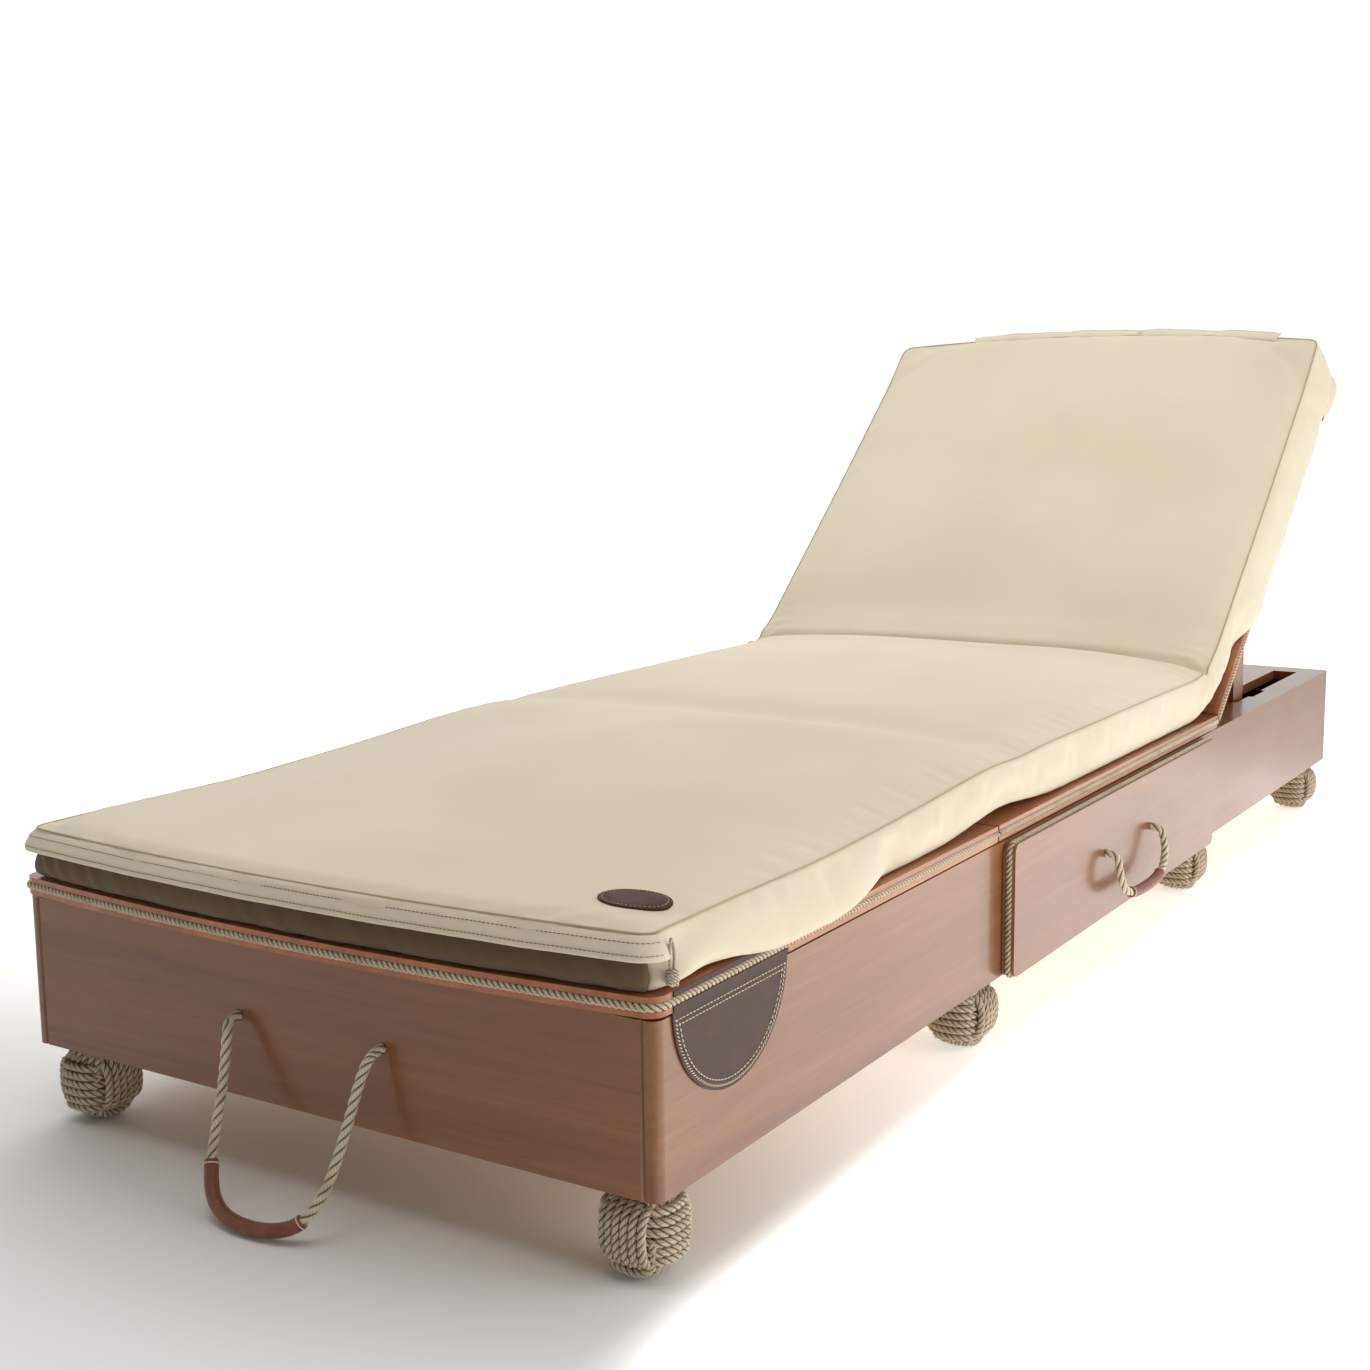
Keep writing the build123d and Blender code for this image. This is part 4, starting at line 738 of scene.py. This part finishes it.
def bent(points):
    # The line at hinge level runs straight, round an arc and straight again at the backrest's tilt, and each
    # point stands off it along its normal
    x, along, height = np.moveaxis(points, -1, 0)
    radius = cushion["bendRadius"]
    turn = np.clip((along - bendAt) / radius, 0, lounger["tilt"])
    before, after = np.minimum(along, bendAt), np.maximum(along - bendAt - arcLength, 0)
    y = before + radius * np.sin(turn) + after * cosTilt - height * np.sin(turn)
    z = radius * (1 - np.cos(turn)) + after * sinTilt + height * np.cos(turn)
    return onBox(np.stack([x, y, z + lounger["panelBottom"]], axis=-1))


def padPlan(x, y):
    # A rectangle with round corners, whose ends are bowed out by the arc's height, which fades inwards
    for end, way in ((cushion["front"], 1), (padEnd, -1)):
        x, y = roundCorners(x, y, cushion["half"], cushion["corner"], end, way)
        inside = np.clip(1 - (y - end) * way / cushion["bowReach"], 0, 1)
        y = y - way * lounger["bow"] * (1 - (x / cushion["half"])**2) * inside**2
    return x, y


def padRows():
    # Rows an even share of the density's sum apart, so they lie closer at the hinge, the fold and the ends
    fine = np.linspace(cushion["front"], padEnd, 4000)
    crowded = ((creaseAt, 1.3, 0.05), (cushion["fold"]["place"], 0.6, 0.04), (cushion["front"], 0.5, 0.03),
               (padEnd, 0.5, 0.03))
    density = 1 + sum(extra * bell(fine - place, width) for place, extra, width in crowded)
    total = np.concatenate([[0], np.cumsum((density[1:] + density[:-1]) / 2 * np.diff(fine))])
    return np.interp(np.linspace(0, total[-1], round(total[-1] / cushion["spacing"])), total, fine)


def seamAndCrown(y):
    # Straight lines between the stations, rounded by the mean of nine places close by
    places, *heights = np.array(cushion["stations"]).T
    near = np.linspace(-0.04, 0.04, 9)
    return [np.mean([np.interp(y + apart, places, height) for apart in near], axis=0) for height in heights]


def padTop(x, y):
    # Seam height, plus the crown's rise with rounded shoulders, less the crease and the fold, plus slow waves
    crease, fold = cushion["crease"], cushion["fold"]
    seam, crown = seamAndCrown(y)
    fromRim = cushion["half"] - np.abs(x), np.minimum(y - cushion["front"], padEnd - y)
    shoulder, ends = [1 - (1 - np.clip(gap / reach, 0, 1))**2.1
                      for gap, reach in zip(fromRim, cushion["shoulders"])]
    rise = (crown - seam) * shoulder * ends
    fromCrease = y - creaseAt - crease["sway"] * np.sin(x * 9)
    fromFold = y - fold["place"] + fold["slant"] * x / cushion["half"]
    dips = crease["depth"] * bell(fromCrease, crease["width"]) * (0.55 + 0.45 * shoulder)
    dips += fold["depth"] * bell(fromFold, fold["width"]) * (0.25 + 0.75 * shoulder)
    wrinkles = np.sin(fromCrease * 210 + x * 30) * bell(np.abs(x) - 0.35, 0.05) * bell(fromCrease, 0.05)
    puffs = sum(bell(fromCrease + side * crease["puffAt"], crease["puffWidth"]) for side in (-1, 1))
    waves = 0.0014 * np.sin(5.1 * x + 7.3 * y + 0.6) * np.sin(3.7 * x - 9.2 * y + 1.9)
    waves += 0.0009 * np.sin(17 * x + 6 * y) * np.sin(13 * y - 4 * x + 0.7)
    return (seam + rise - dips + crease["wrinkle"] * wrinkles + crease["puff"] * puffs * shoulder
            + waves * shoulder * ends)


def padBottom(x, y):
    # Level, but the underside's sides lift off the panels where the pad was folded
    under = cushion["underside"]
    nearEdge = np.clip((np.abs(x) - 0.20) / 0.16, 0, 1)**2
    return under["lift"] + nearEdge * under["foldLift"] * bell(y - under["foldPlace"], under["foldWidth"])


def padRing(share, outline, outward, seam, bottom):
    # One line round the pad's side: it bulges as a half sine, tucks in under the front's placket and puckers
    # there, and on the right it hangs over the panel's edge for two stretches
    side = cushion["side"]
    x, y = outline.T
    height = bottom + (seam - bottom) * share
    wave = 0.0010 * np.sin(38 * (x + y)) + 0.0007 * np.sin(71 * x - 53 * y + 1.0)
    bulge = side["bulge"] * np.sin(math.pi * share)**0.8 + wave * np.sin(math.pi * share)
    atFront = np.clip(1 - (y - cushion["front"]) / side["tuckReach"], 0, 1)
    tuck = atFront * math.sin(math.pi * min(share / side["tuckShare"], 1)**1.4)
    bulge += side["pucker"] * np.sin(x * 150 + 2 * np.sin(x * 31)) * tuck - side["tuck"] * tuck
    low = np.clip(outward[:, 0], 0, 1)**2 * (1 - share)**2.2 * (share > 0)
    onBackrest = window(y - backStart, *side["backHang"], side["backSoft"])
    bulge += side["overhang"] * low * (window(y, *side["footBulge"], side["footSoft"]) + onBackrest)
    onFoot = window(y, *side["footHang"], side["footSoft"])
    height = height - low * (side["footDrop"] * onFoot + side["backDrop"] * onBackrest)
    return np.column_stack([outline + outward * bulge[:, None], height])


def padMesh():
    # The top and the underside are grids over one plan, and rings join the underside's rim to the top's
    t = np.linspace(-1, 1, cushion["columns"])
    x, y = np.meshgrid(cushion["half"] * (1.12 * t - 0.12 * t**3), padRows())
    planX, planY = padPlan(x, y)
    top = np.stack([planX, planY, padTop(planX, planY)], axis=-1).reshape(-1, 3)
    bottom = np.stack([planX, planY, padBottom(planX, planY)], axis=-1).reshape(-1, 3)
    index = np.arange(x.size).reshape(x.shape)
    # Counter-clockwise from above, starting at the front's left corner
    rim = np.concatenate([index[0, :-1], index[:-1, -1], index[-1, :0:-1], index[:0:-1, 0]])
    outline = top[rim, :2]
    along = np.roll(outline, -1, axis=0) - np.roll(outline, 1, axis=0)
    outward = unit(np.column_stack([along[:, 1], -along[:, 0]]))
    points, loops = [top, bottom], [index.size + rim]
    for ring in range(1, cushion["rings"]):
        loops.append(sum(len(part) for part in points) + np.arange(len(rim)))
        points.append(padRing(ring / cushion["rings"], outline, outward, top[rim, 2], bottom[rim, 2]))
    loops.append(rim)
    points = np.concatenate(points)
    points[:, 2] += lounger["panelTop"] - lounger["panelBottom"]
    sheet = gridFaces(index)
    faces = np.concatenate([sheet, sheet[:, ::-1] + index.size, *ringFaces(loops, closed=True)])
    # The cloth's map is metres across and along, and on the sides height adds to it
    flat = points[:, :2] + np.sign(points[:, :1]) * points[:, 2:]
    return quadSkin(bent(points), faces, flat), rim, index


def meshPoints(mesh):  # a mesh's points, one in each row
    points = np.zeros(len(mesh.vertices) * 3, np.float32)
    mesh.vertices.foreach_get("co", points)
    return points.reshape(-1, 3)


def simulate(piece, heldRows, settings):
    # The pad swells as cloth with air in it, held at its seam and underside, and no point moves past the cap
    group = piece.vertex_groups.new(name="held")
    group.add(heldRows.tolist(), 1.0, "REPLACE")
    cloth = piece.modifiers.new("cloth", "CLOTH")
    cloth.settings.vertex_group_mass = "held"
    cloth.settings.quality, cloth.settings.mass = settings["quality"], settings["mass"]
    cloth.settings.tension_stiffness = cloth.settings.compression_stiffness = settings["stiffness"]
    cloth.settings.bending_stiffness = settings["bending"]
    cloth.settings.shrink_min = -settings["slack"]
    cloth.settings.use_pressure = True
    cloth.settings.uniform_pressure_force = settings["pressure"]
    cloth.settings.effector_weights.gravity = 0
    start = meshPoints(piece.data)
    scene = bpy.context.scene
    for step in range(1, settings["steps"] + 1):
        scene.frame_set(step)
    swollen = piece.evaluated_get(bpy.context.evaluated_depsgraph_get()).data
    shift = meshPoints(swollen) - start
    length = np.linalg.norm(shift, axis=1, keepdims=True)
    print("cloth moved by", round(float(np.median(length)) * 1000, 2), "mm in the middle and",
          round(float(length.max()) * 1000, 2), "mm at most")
    shift *= np.minimum(1, settings["most"] / np.maximum(length, 1e-9))
    piece.modifiers.remove(cloth)
    piece.vertex_groups.remove(group)
    scene.frame_set(1)
    piece.data.vertices.foreach_set("co", (start + shift).ravel())
    piece.data.update()


def creaseEdges(mesh, seam, value):  # the edges between two points of the seam stay sharp when smoothed
    ends = np.zeros(len(mesh.edges) * 2, np.int32)
    mesh.edges.foreach_get("vertices", ends)
    onSeam = np.isin(ends.reshape(-1, 2), seam).all(axis=1)
    crease = mesh.attributes.new("crease_edge", "FLOAT", "EDGE")
    crease.data.foreach_set("value", np.where(onSeam, value, 0).astype(np.float32))


padSkin, padSeam, padIndex = padMesh()
pad = show("longCushion", [padSkin], "canvas", None, ["cushion_seat", "cushion_back"])
simulate(pad, np.concatenate([padIndex.ravel() + padIndex.size, padSeam]), cushion["cloth"])
settled = meshPoints(pad.data)
creaseEdges(pad.data, padSeam, cushion["seamCrease"])
smoother = pad.modifiers.new("smoother", "SUBSURF")
smoother.levels = smoother.render_levels = 1
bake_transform(pad)
print("cushion made")

# Seams, stitching and trim


def alongSkin(outline, outward, profile, heightShift=0.0, offsetShift=0.0):
    # A closed profile of offsets and heights carried along a flat outline, each offset measured square to it
    offset, height = np.asarray(profile).T
    offset = offset + np.reshape(offsetShift, (-1, 1))
    plan = outline[:, None] + outward[:, None] * offset[..., None]
    tall = np.broadcast_to(height + np.reshape(heightShift, (-1, 1)), plan.shape[:2])
    return np.concatenate([plan, tall[..., None]], axis=-1)


def outlineOut(outline, way=1):  # unit vectors square to a flat outline
    along = np.gradient(outline, axis=0)
    return unit(np.column_stack([along[:, 1], -along[:, 0]])) * way


def evenOutline(outline, step):  # a flat outline with its points a step apart, and their places along it
    path, places = evenPath(lifted(outline, 0.0), step)
    return path[:, :2], places


def stripSkin(grid, places, width=0.05):  # a strip of cloth, whose map is metres along it and across it
    across, along = np.meshgrid(np.linspace(0, width, grid.shape[1] + 1), places)
    return gridSkin(grid, np.stack([along, across], axis=-1), capEnds=True)


def stitchSkin(path, facing, stitch, sides=6, sunk=0.0002):
    # One stitch is a short round bar that arches from its hole to the next; its ends dip under the surface
    centres, _ = evenPath(path, stitch["every"])
    facing = unit(np.broadcast_to(facing, centres.shape) * 1.0)
    along = unit(np.gradient(centres, axis=0))
    side = np.cross(facing, along)
    cosLean, sinLean = math.cos(stitch.get("lean", 0.0)), math.sin(stitch.get("lean", 0.0))
    along, side = along * cosLean + side * sinLean, side * cosLean - along * sinLean
    t = np.linspace(-1, 1, 6)
    angle = np.linspace(0, 2 * math.pi, sides, endpoint=False)
    centre = (centres[:, None] + along[:, None] * (t * stitch["length"] / 2)[:, None]
              + facing[:, None] * ((1 - t**2) * stitch["rise"] - sunk)[:, None])
    radius = stitch["width"] / 2 * np.sqrt(1 - 0.75 * t**4)[:, None]
    ring = (centre[:, :, None] + (radius * np.cos(angle))[..., None] * side[:, None, None]
            + (radius * np.sin(angle))[..., None] * facing[:, None, None])
    points, corners, sizes, uv = gridSkin(ring[0], tubeUv(t * stitch["length"], sides), capEnds=True)
    shift = np.arange(len(ring)) * len(points)
    return (ring.reshape(-1, 3), (corners + shift[:, None]).ravel(), np.tile(sizes, len(ring)),
            np.tile(uv, (len(ring), 1)))


# The cushion's seam lines, laid on the settled pad in a darker canvas, which is painted shade along the seam
seamWire = dict(radius=0.0010, around=6, length=5.2)
seamLine = settled[padSeam]
seamGrid = tubeGrid(seamLine, seamWire["radius"], (0, 0, 1), seamWire["around"], closed=True)
seamUv = tubeUv(np.linspace(0, seamWire["length"], len(seamLine) + 1), seamWire["around"])
seamRing = gridSkin(seamGrid, seamUv, closed=True)
seams = show("cushionSeam", [seamRing], "seamShadeCanvas")
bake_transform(seams)

# Placket over the zip: a folded strip that hangs from the front seam, stitched along its hem and its top.
# A profile is steps out from an outline, each with a height above the panel's underside
placket = dict(
    profile=[(-0.0010, 0.0655), (0.0030, 0.0645), (0.0075, 0.0605), (0.0112, 0.0545), (0.0130, 0.0485),
             (0.0127, 0.0463), (0.0112, 0.0463), (0.0098, 0.0490), (0.0060, 0.0560), (0.0005, 0.0620)],
    rear=0.016, step=0.003, hemUp=(0, -0.0001, 0.0030), topUp=(0, 0, 0.0001),
    stitch=dict(every=0.0042, length=0.0034, width=0.0008, rise=0.0003))
frontEdge, frontPlaces = evenOutline(
    bowOutline(cushion["half"], placket["rear"], cushion["front"], cushion["corner"]), placket["step"])
frontOut = outlineOut(frontEdge, -1)
sway = 0.0007 * np.sin(frontPlaces * 41) + 0.0005 * np.sin(frontPlaces * 83 + 1)
fromPanel = np.array([0, 0, lounger["panelBottom"]])
placketGrid = onBox(alongSkin(frontEdge, frontOut, placket["profile"], sway * 0.6, sway) + fromPanel)
show("frontPlacket", [stripSkin(placketGrid, frontPlaces)], "canvas", "box", ["zip_flap"])
stitchLines = placketGrid[2:-2, 4] + placket["hemUp"], placketGrid[2:-2, 2] + placket["topUp"]
stitches = [stitchSkin(line, (0, -0.8, 0.5), placket["stitch"]) for line in stitchLines]
show("placketStitches", stitches, "darkThread", "box")

# Band under the placket, crinkled and sunk into the pad at its ends, with the zip's teeth along its top. Its
# dark colour is the zip's tape at the top and painted shade over the lower boxing below it
frontBand = dict(
    profile=[(-0.0045, 0.0520), (-0.0008, 0.0440), (0.0028, 0.0380), (0.0046, 0.0320), (0.0050, 0.0270),
             (0.0036, 0.0225), (-0.0010, 0.0190), (-0.0080, 0.0200), (-0.0110, 0.0320), (-0.0090, 0.0520)],
    full=0.3620, fade=0.0048, sunk=0.013, crinkle=0.0010, ripple=0.0004, slant=0.005,
    teethOut=(0, -0.0002, 0),
    teeth=dict(every=0.0026, length=0.0060, width=0.0014, rise=0.0012, lean=math.pi / 2))
fromFull = np.clip((np.abs(frontEdge[:, 0]) - frontBand["full"]) / frontBand["fade"], 0, 1)
bandGrid = alongSkin(frontEdge, frontOut, frontBand["profile"], 0, sway - frontBand["sunk"] * fromFull)
slanted = frontPlaces[:, None] + np.arange(len(frontBand["profile"])) * frontBand["slant"]
crinkles = np.sin(180 * slanted + 3 * np.sin(27 * slanted)) * (0.5 + 0.5 * np.sin(19 * slanted + 1))
crinkles = frontBand["crinkle"] * crinkles + frontBand["ripple"] * np.sin(330 * slanted)
bandGrid[..., :2] += frontOut[:, None] * crinkles[..., None]
bandGrid = onBox(bandGrid + fromPanel)
show("frontBoxingShadeBand", [stripSkin(bandGrid, frontPlaces)], "zipTapeAndShadeCloth", "box")
teethSkin = stitchSkin(bandGrid[8:-8, 1] + frontBand["teethOut"], (0, -1, 0), frontBand["teeth"])
show("zipTeeth", [teethSkin], "zipCoil", "box")

# Zip pull: a looped cord whipped with five turns round a bulb
zipPull = dict(x=0.3795, y=0.0170, low=0.2612, knotTop=0.2765, loopTop=0.3005, step=0.0008,
               turns=5, wire=0.0035, wirePitch=0.009, wireAround=10, core=0.0036, swell=0.0007, margin=0.0015,
               cord=0.0031, cordPitch=0.008, cordAround=8, gap=0.0017, spread=0.0018, lean=0.001,
               cordSunk=0.004, bulbRadius=0.0043, bulbHalf=0.0068, bulbUp=0.006, bulbAround=16)


def zipPullSkins(settings):
    # The whipping is a helix that swells as a half sine, the loop's two legs spread as a half sine and meet
    # at its top, and the bulb is an ellipsoid
    x, y, low, knotTop = [settings[key] for key in ("x", "y", "low", "knotTop")]
    share = np.linspace(0, 1, settings["turns"] * 20 + 1)
    angle = 2 * math.pi * settings["turns"] * share
    radius = settings["core"] + settings["swell"] * np.sin(math.pi * share)
    height = low + settings["margin"] + share * (knotTop - low - 2 * settings["margin"])
    wraps = np.column_stack([x + radius * np.cos(angle), y + radius * np.sin(angle), height])
    skins = [ropeSkin(onBox(wraps), settings["wire"], settings["wirePitch"], (0, 0, 1), settings["step"],
                      settings["wireAround"])]
    rise = np.linspace(0, 1, 24)
    legLow = knotTop - settings["cordSunk"]
    apart = (settings["gap"] + settings["spread"] * np.sin(math.pi * rise)) * (1 - rise**6)
    for way in (-1, 1):
        leg = np.column_stack([x - settings["lean"] * rise, y + way * apart,
                               legLow + rise * (settings["loopTop"] - legLow)])
        skins.append(ropeSkin(onBox(leg), settings["cord"], settings["cordPitch"], (1, 0, 0),
                              settings["step"], settings["cordAround"]))
    level = np.linspace(-1, 1, 12)
    line = np.outer(level, (0, 0, settings["bulbHalf"])) + (x, y, low + settings["bulbUp"])
    around = settings["bulbAround"]
    bulb = tubeGrid(onBox(line), np.sqrt(1.0001 - level**2) * settings["bulbRadius"], (1, 0, 0), around)
    return [*skins, gridSkin(bulb, tubeUv(np.linspace(0, 0.02, len(level)), around), capEnds=True)]


show("whippedPull", zipPullSkins(zipPull), "pullRope", "box", ["zip_pull"])

# Oval leather patch, which lies on the cushion's top. Its profile is shares of its reach, each with a height
# above the pad
patch = dict(
    centre=(0.313, 0.064), reach=(0.034, 0.024), around=72,
    profile=[(1.0, -0.0015), (1.006, 0.0006), (1.0, 0.0013), (0.98, 0.0017), (0.93, 0.0017), (0.90, 0.0014),
             (0.87, 0.0014), (0.84, 0.0018), (0.6, 0.0021), (0.35, 0.0022), (0.1, 0.0022)],
    seam=(0.885, 0.0015), seamAround=145, nearby=0.075, blur=0.007,
    stitch=dict(every=0.0040, length=0.0030, width=0.0010, rise=0.0007))


def padTopAt(plan):
    # Height of the settled pad at points of the plan: the mean of its own points nearby, the nearest ones
    # counting most
    spots = settled[padIndex.ravel()] - boxStart
    near = spots[np.hypot(*(spots[:, :2] - patch["centre"]).T) < patch["nearby"]]
    apart = np.hypot(plan[..., 0, None] - near[:, 0], plan[..., 1, None] - near[:, 1])
    weight = bell(apart, patch["blur"])
    return (weight * near[:, 2]).sum(axis=-1) / weight.sum(axis=-1)


def patchRound(share, rise, count):  # an ellipse drawn on the pad, raised a little
    angle = np.linspace(0, 2 * math.pi, count, endpoint=False)
    circle = np.column_stack([np.cos(angle), np.sin(angle)])
    plan = patch["centre"] + np.array(patch["reach"]) * share * circle
    return onBox(np.column_stack([plan, padTopAt(plan) + rise]))


patchGrid = np.stack([patchRound(share, rise, patch["around"]) for share, rise in patch["profile"]])
patchSkin = gridSkin(patchGrid, tubeUv(np.linspace(0, 0.03, len(patchGrid)), patch["around"]), capEnds=True)
show("ovalPatch", [patchSkin], "patchLeather", "box", ["oval_patch"])
patchSeam = patchRound(*patch["seam"], patch["seamAround"])
patchSeam = np.concatenate([patchSeam, patchSeam[:1]])
show("patchStitches", [stitchSkin(patchSeam, (0, 0, 1), patch["stitch"])], "tanThread", "box")

# Stitching of the leather flap: two rows along its top and two round its rim, each an inset and a drop
flap = dict(front=0.021, rear=0.206, top=0.2375, depth=0.090, face=0.3768,
            rimRows=[(0.0085, 0.012, "straight"), (0.0040, 0.008, "slanted")],
            topRows=[(0.0050, 0.0075, "straight"), (0.0085, 0.012, "straight")],
            straight=dict(every=0.0052, length=0.0037, width=0.0011, rise=0.0006),
            slanted=dict(every=0.0036, length=0.0040, width=0.0010, rise=0.0006, lean=0.7))
flapHalf = (flap["rear"] - flap["front"]) / 2
flapRadius = (flapHalf**2 + flap["depth"]**2) / (2 * flap["depth"])
flapCentre = np.array([flap["front"] + flapHalf, flap["top"] - flap["depth"] + flapRadius])


def flapRim(inset, drop, count=160):
    # The rim's arc, drawn in by the inset, below a level that lies the drop under the flap's top
    radius = flapRadius - inset
    start = math.asin(min(1, (flapCentre[1] - flap["top"] + drop) / radius))
    rim = arc(flapCentre, radius, math.pi + start, 2 * math.pi - start, count)
    return onBox(np.column_stack([np.full(count, flap["face"]), rim]))


def flapTop(inset, drop):
    # The level line at the drop under the flap's top, between its two meetings with the rim's arc drawn in
    height = flap["top"] - drop
    reach = math.sqrt((flapRadius - inset)**2 - (flapCentre[1] - height)**2)
    return onBox([(flap["face"], flapCentre[0] + side * reach, height) for side in (-1, 1)])


flapSkins = [stitchSkin(line(inset, drop), (1, 0, 0), flap[kind])
             for line, rows in ((flapRim, flap["rimRows"]), (flapTop, flap["topRows"]))
             for inset, drop, kind in rows]
show("flapStitches", flapSkins, "thread", "box")

# Pocket of cloth pulled over the backrest's head end
pocket = dict(start=0.650, half=0.3845, head=0.7445, corner=0.022, under=-0.0115, rim=0.0340, wall=0.0014,
              columns=61, rows=14, rings=10, bowReach=0.095, hemShare=0.994, hemReach=0.04, dropReach=0.035,
              hemDropShare=0.08, bulge=0.0035, tuck=0.012, tuckStart=0.6, seamHalf=0.376, seamIn=0.006,
              seamDropShare=0.16)


def pocketMesh():
    # The sheet under the backrest, a little narrower at its hem, with slanted creases, and then its rim,
    # which bulges outwards as a half sine and leans in at its top
    half, start = pocket["half"], pocket["start"]
    x, s = np.meshgrid(np.linspace(-half, half, pocket["columns"]),
                       np.linspace(start, pocket["head"], pocket["rows"]))
    planX, planS = roundCorners(x, s, half, pocket["corner"], pocket["head"], -1)
    bow = lounger["bow"] * (1 - (planX / half)**2)
    planS = planS + bow * np.clip((s - start) / pocket["bowReach"], 0, 1)
    atHem = 1 - np.clip((s - start) / pocket["hemReach"], 0, 1)
    planX = planX * (1 - (1 - pocket["hemShare"]) * atHem)
    creases = 0.0012 * np.sin(planX * 61 + planS * 20) * np.sin(planS * 47)
    creases += 0.0008 * np.sin(planX * 143 - planS * 90)
    drop = smooth(np.clip((planS - start) / pocket["dropReach"], 0, 1))
    drop = pocket["hemDropShare"] + (1 - pocket["hemDropShare"]) * drop
    sheet = np.stack([planX, planS, (pocket["under"] + creases) * drop], axis=-1).reshape(-1, 3)
    index = np.arange(x.size).reshape(x.shape)
    rim = np.concatenate([index[:-1, -1], index[-1, :0:-1], index[::-1, 0]])
    outline = sheet[rim, :2]
    out = outlineOut(outline)
    ripple = 0.0006 * np.sin(outline[:, 0] * 130 + outline[:, 1] * 90)
    points, loops = [sheet], [rim]
    for share in np.arange(1, pocket["rings"] + 1) / pocket["rings"]:
        height = sheet[rim, 2] * (1 - share) + pocket["rim"] * share
        lean = max(0, (share - pocket["tuckStart"]) / (1 - pocket["tuckStart"]))**1.5
        bulge = pocket["bulge"] * math.sin(math.pi * min(share * 1.5, 1)) - pocket["tuck"] * lean + ripple
        loops.append(sum(len(part) for part in points) + np.arange(len(rim)))
        points.append(np.column_stack([outline + out * bulge[:, None], height]))
    points = np.concatenate(points)
    faces = np.concatenate([gridFaces(index.T), *ringFaces(loops, closed=False)])
    flat = points[:, :2] + np.sign(points[:, :1]) * (points[:, 2:] - pocket["under"])
    return quadSkin(onBack(points), faces, flat)


headPocket = show("headPocket", [pocketMesh()], "canvas", "backrest", ["head_pocket"])
wall = headPocket.modifiers.new("wall", "SOLIDIFY")
wall.thickness, wall.offset = pocket["wall"], -1
hemHeight = pocket["under"] * pocket["seamDropShare"] - pocket["wall"]
hem = [(side * pocket["seamHalf"], pocket["start"] + pocket["seamIn"], hemHeight) for side in (-1, 1)]
hemSkin = stitchSkin(onBack(hem), (0, sinTilt, -cosTilt), placket["stitch"])
show("pocketHem", [hemSkin], "darkThread", "backrest")

# Strip along the cushion's head seam, with a plain tape tag sewn on it
headStrip = dict(
    left=-0.237, right=0.303, inset=0.030, reach=-0.7435, corner=0.004, step=0.004,
    profile=[(-0.004, 0.0895), (0.004, 0.0905), (0.012, 0.0895), (0.018, 0.0865), (0.0205, 0.0845),
             (0.0200, 0.0830), (0.0180, 0.0838), (0.012, 0.0868), (0.004, 0.0880), (-0.004, 0.0872)])
stripTag = dict(x=0.064, half=0.0065, width=0.03,
                profile=[(0.0050, 0.0912), (0.0120, 0.0903), (0.0168, 0.0881), (0.0162, 0.0868),
                         (0.0120, 0.0889), (0.0050, 0.0898)])
stripEdge, stripPlaces = evenOutline(
    bowOutline(cushion["half"] - headStrip["inset"], 0, headStrip["reach"], headStrip["corner"]) * (1, -1),
    headStrip["step"])
flatPart = (stripEdge[:, 0] > headStrip["left"]) & (stripEdge[:, 0] < headStrip["right"])
stripEdge, stripPlaces = stripEdge[flatPart], stripPlaces[flatPart]
stripOut = outlineOut(stripEdge)
stripSway = 0.0006 * np.sin(stripPlaces * 47) + 0.0004 * np.sin(stripPlaces * 97)
stripGrid = alongSkin(stripEdge, stripOut, headStrip["profile"], stripSway, stripSway)
show("headStrip", [stripSkin(onBack(stripGrid), stripPlaces)], "canvas", "backrest")
stripLines = stripGrid[2, [0, 4]] + (0, 0, 0.0004), stripGrid[3:-3, 3] + (0, 0, 0.0002)
stripSkins = [stitchSkin(onBack(line), (0, -sinTilt, cosTilt), placket["stitch"]) for line in stripLines]
show("headStripStitches", stripSkins, "darkThread", "backrest")
onTag = np.abs(stripEdge[:, 0] - stripTag["x"]) < stripTag["half"]
tagEdge, tagOut, tagSway = stripEdge[onTag], stripOut[onTag], stripSway[onTag]
tagGrid = alongSkin(tagEdge, tagOut, stripTag["profile"], tagSway, tagSway)
tagSkin = stripSkin(onBack(tagGrid), stripPlaces[onTag], stripTag["width"])
show("stripTag", [tagSkin], "weave", "backrest")
print("seams, placket, leather and pocket made")
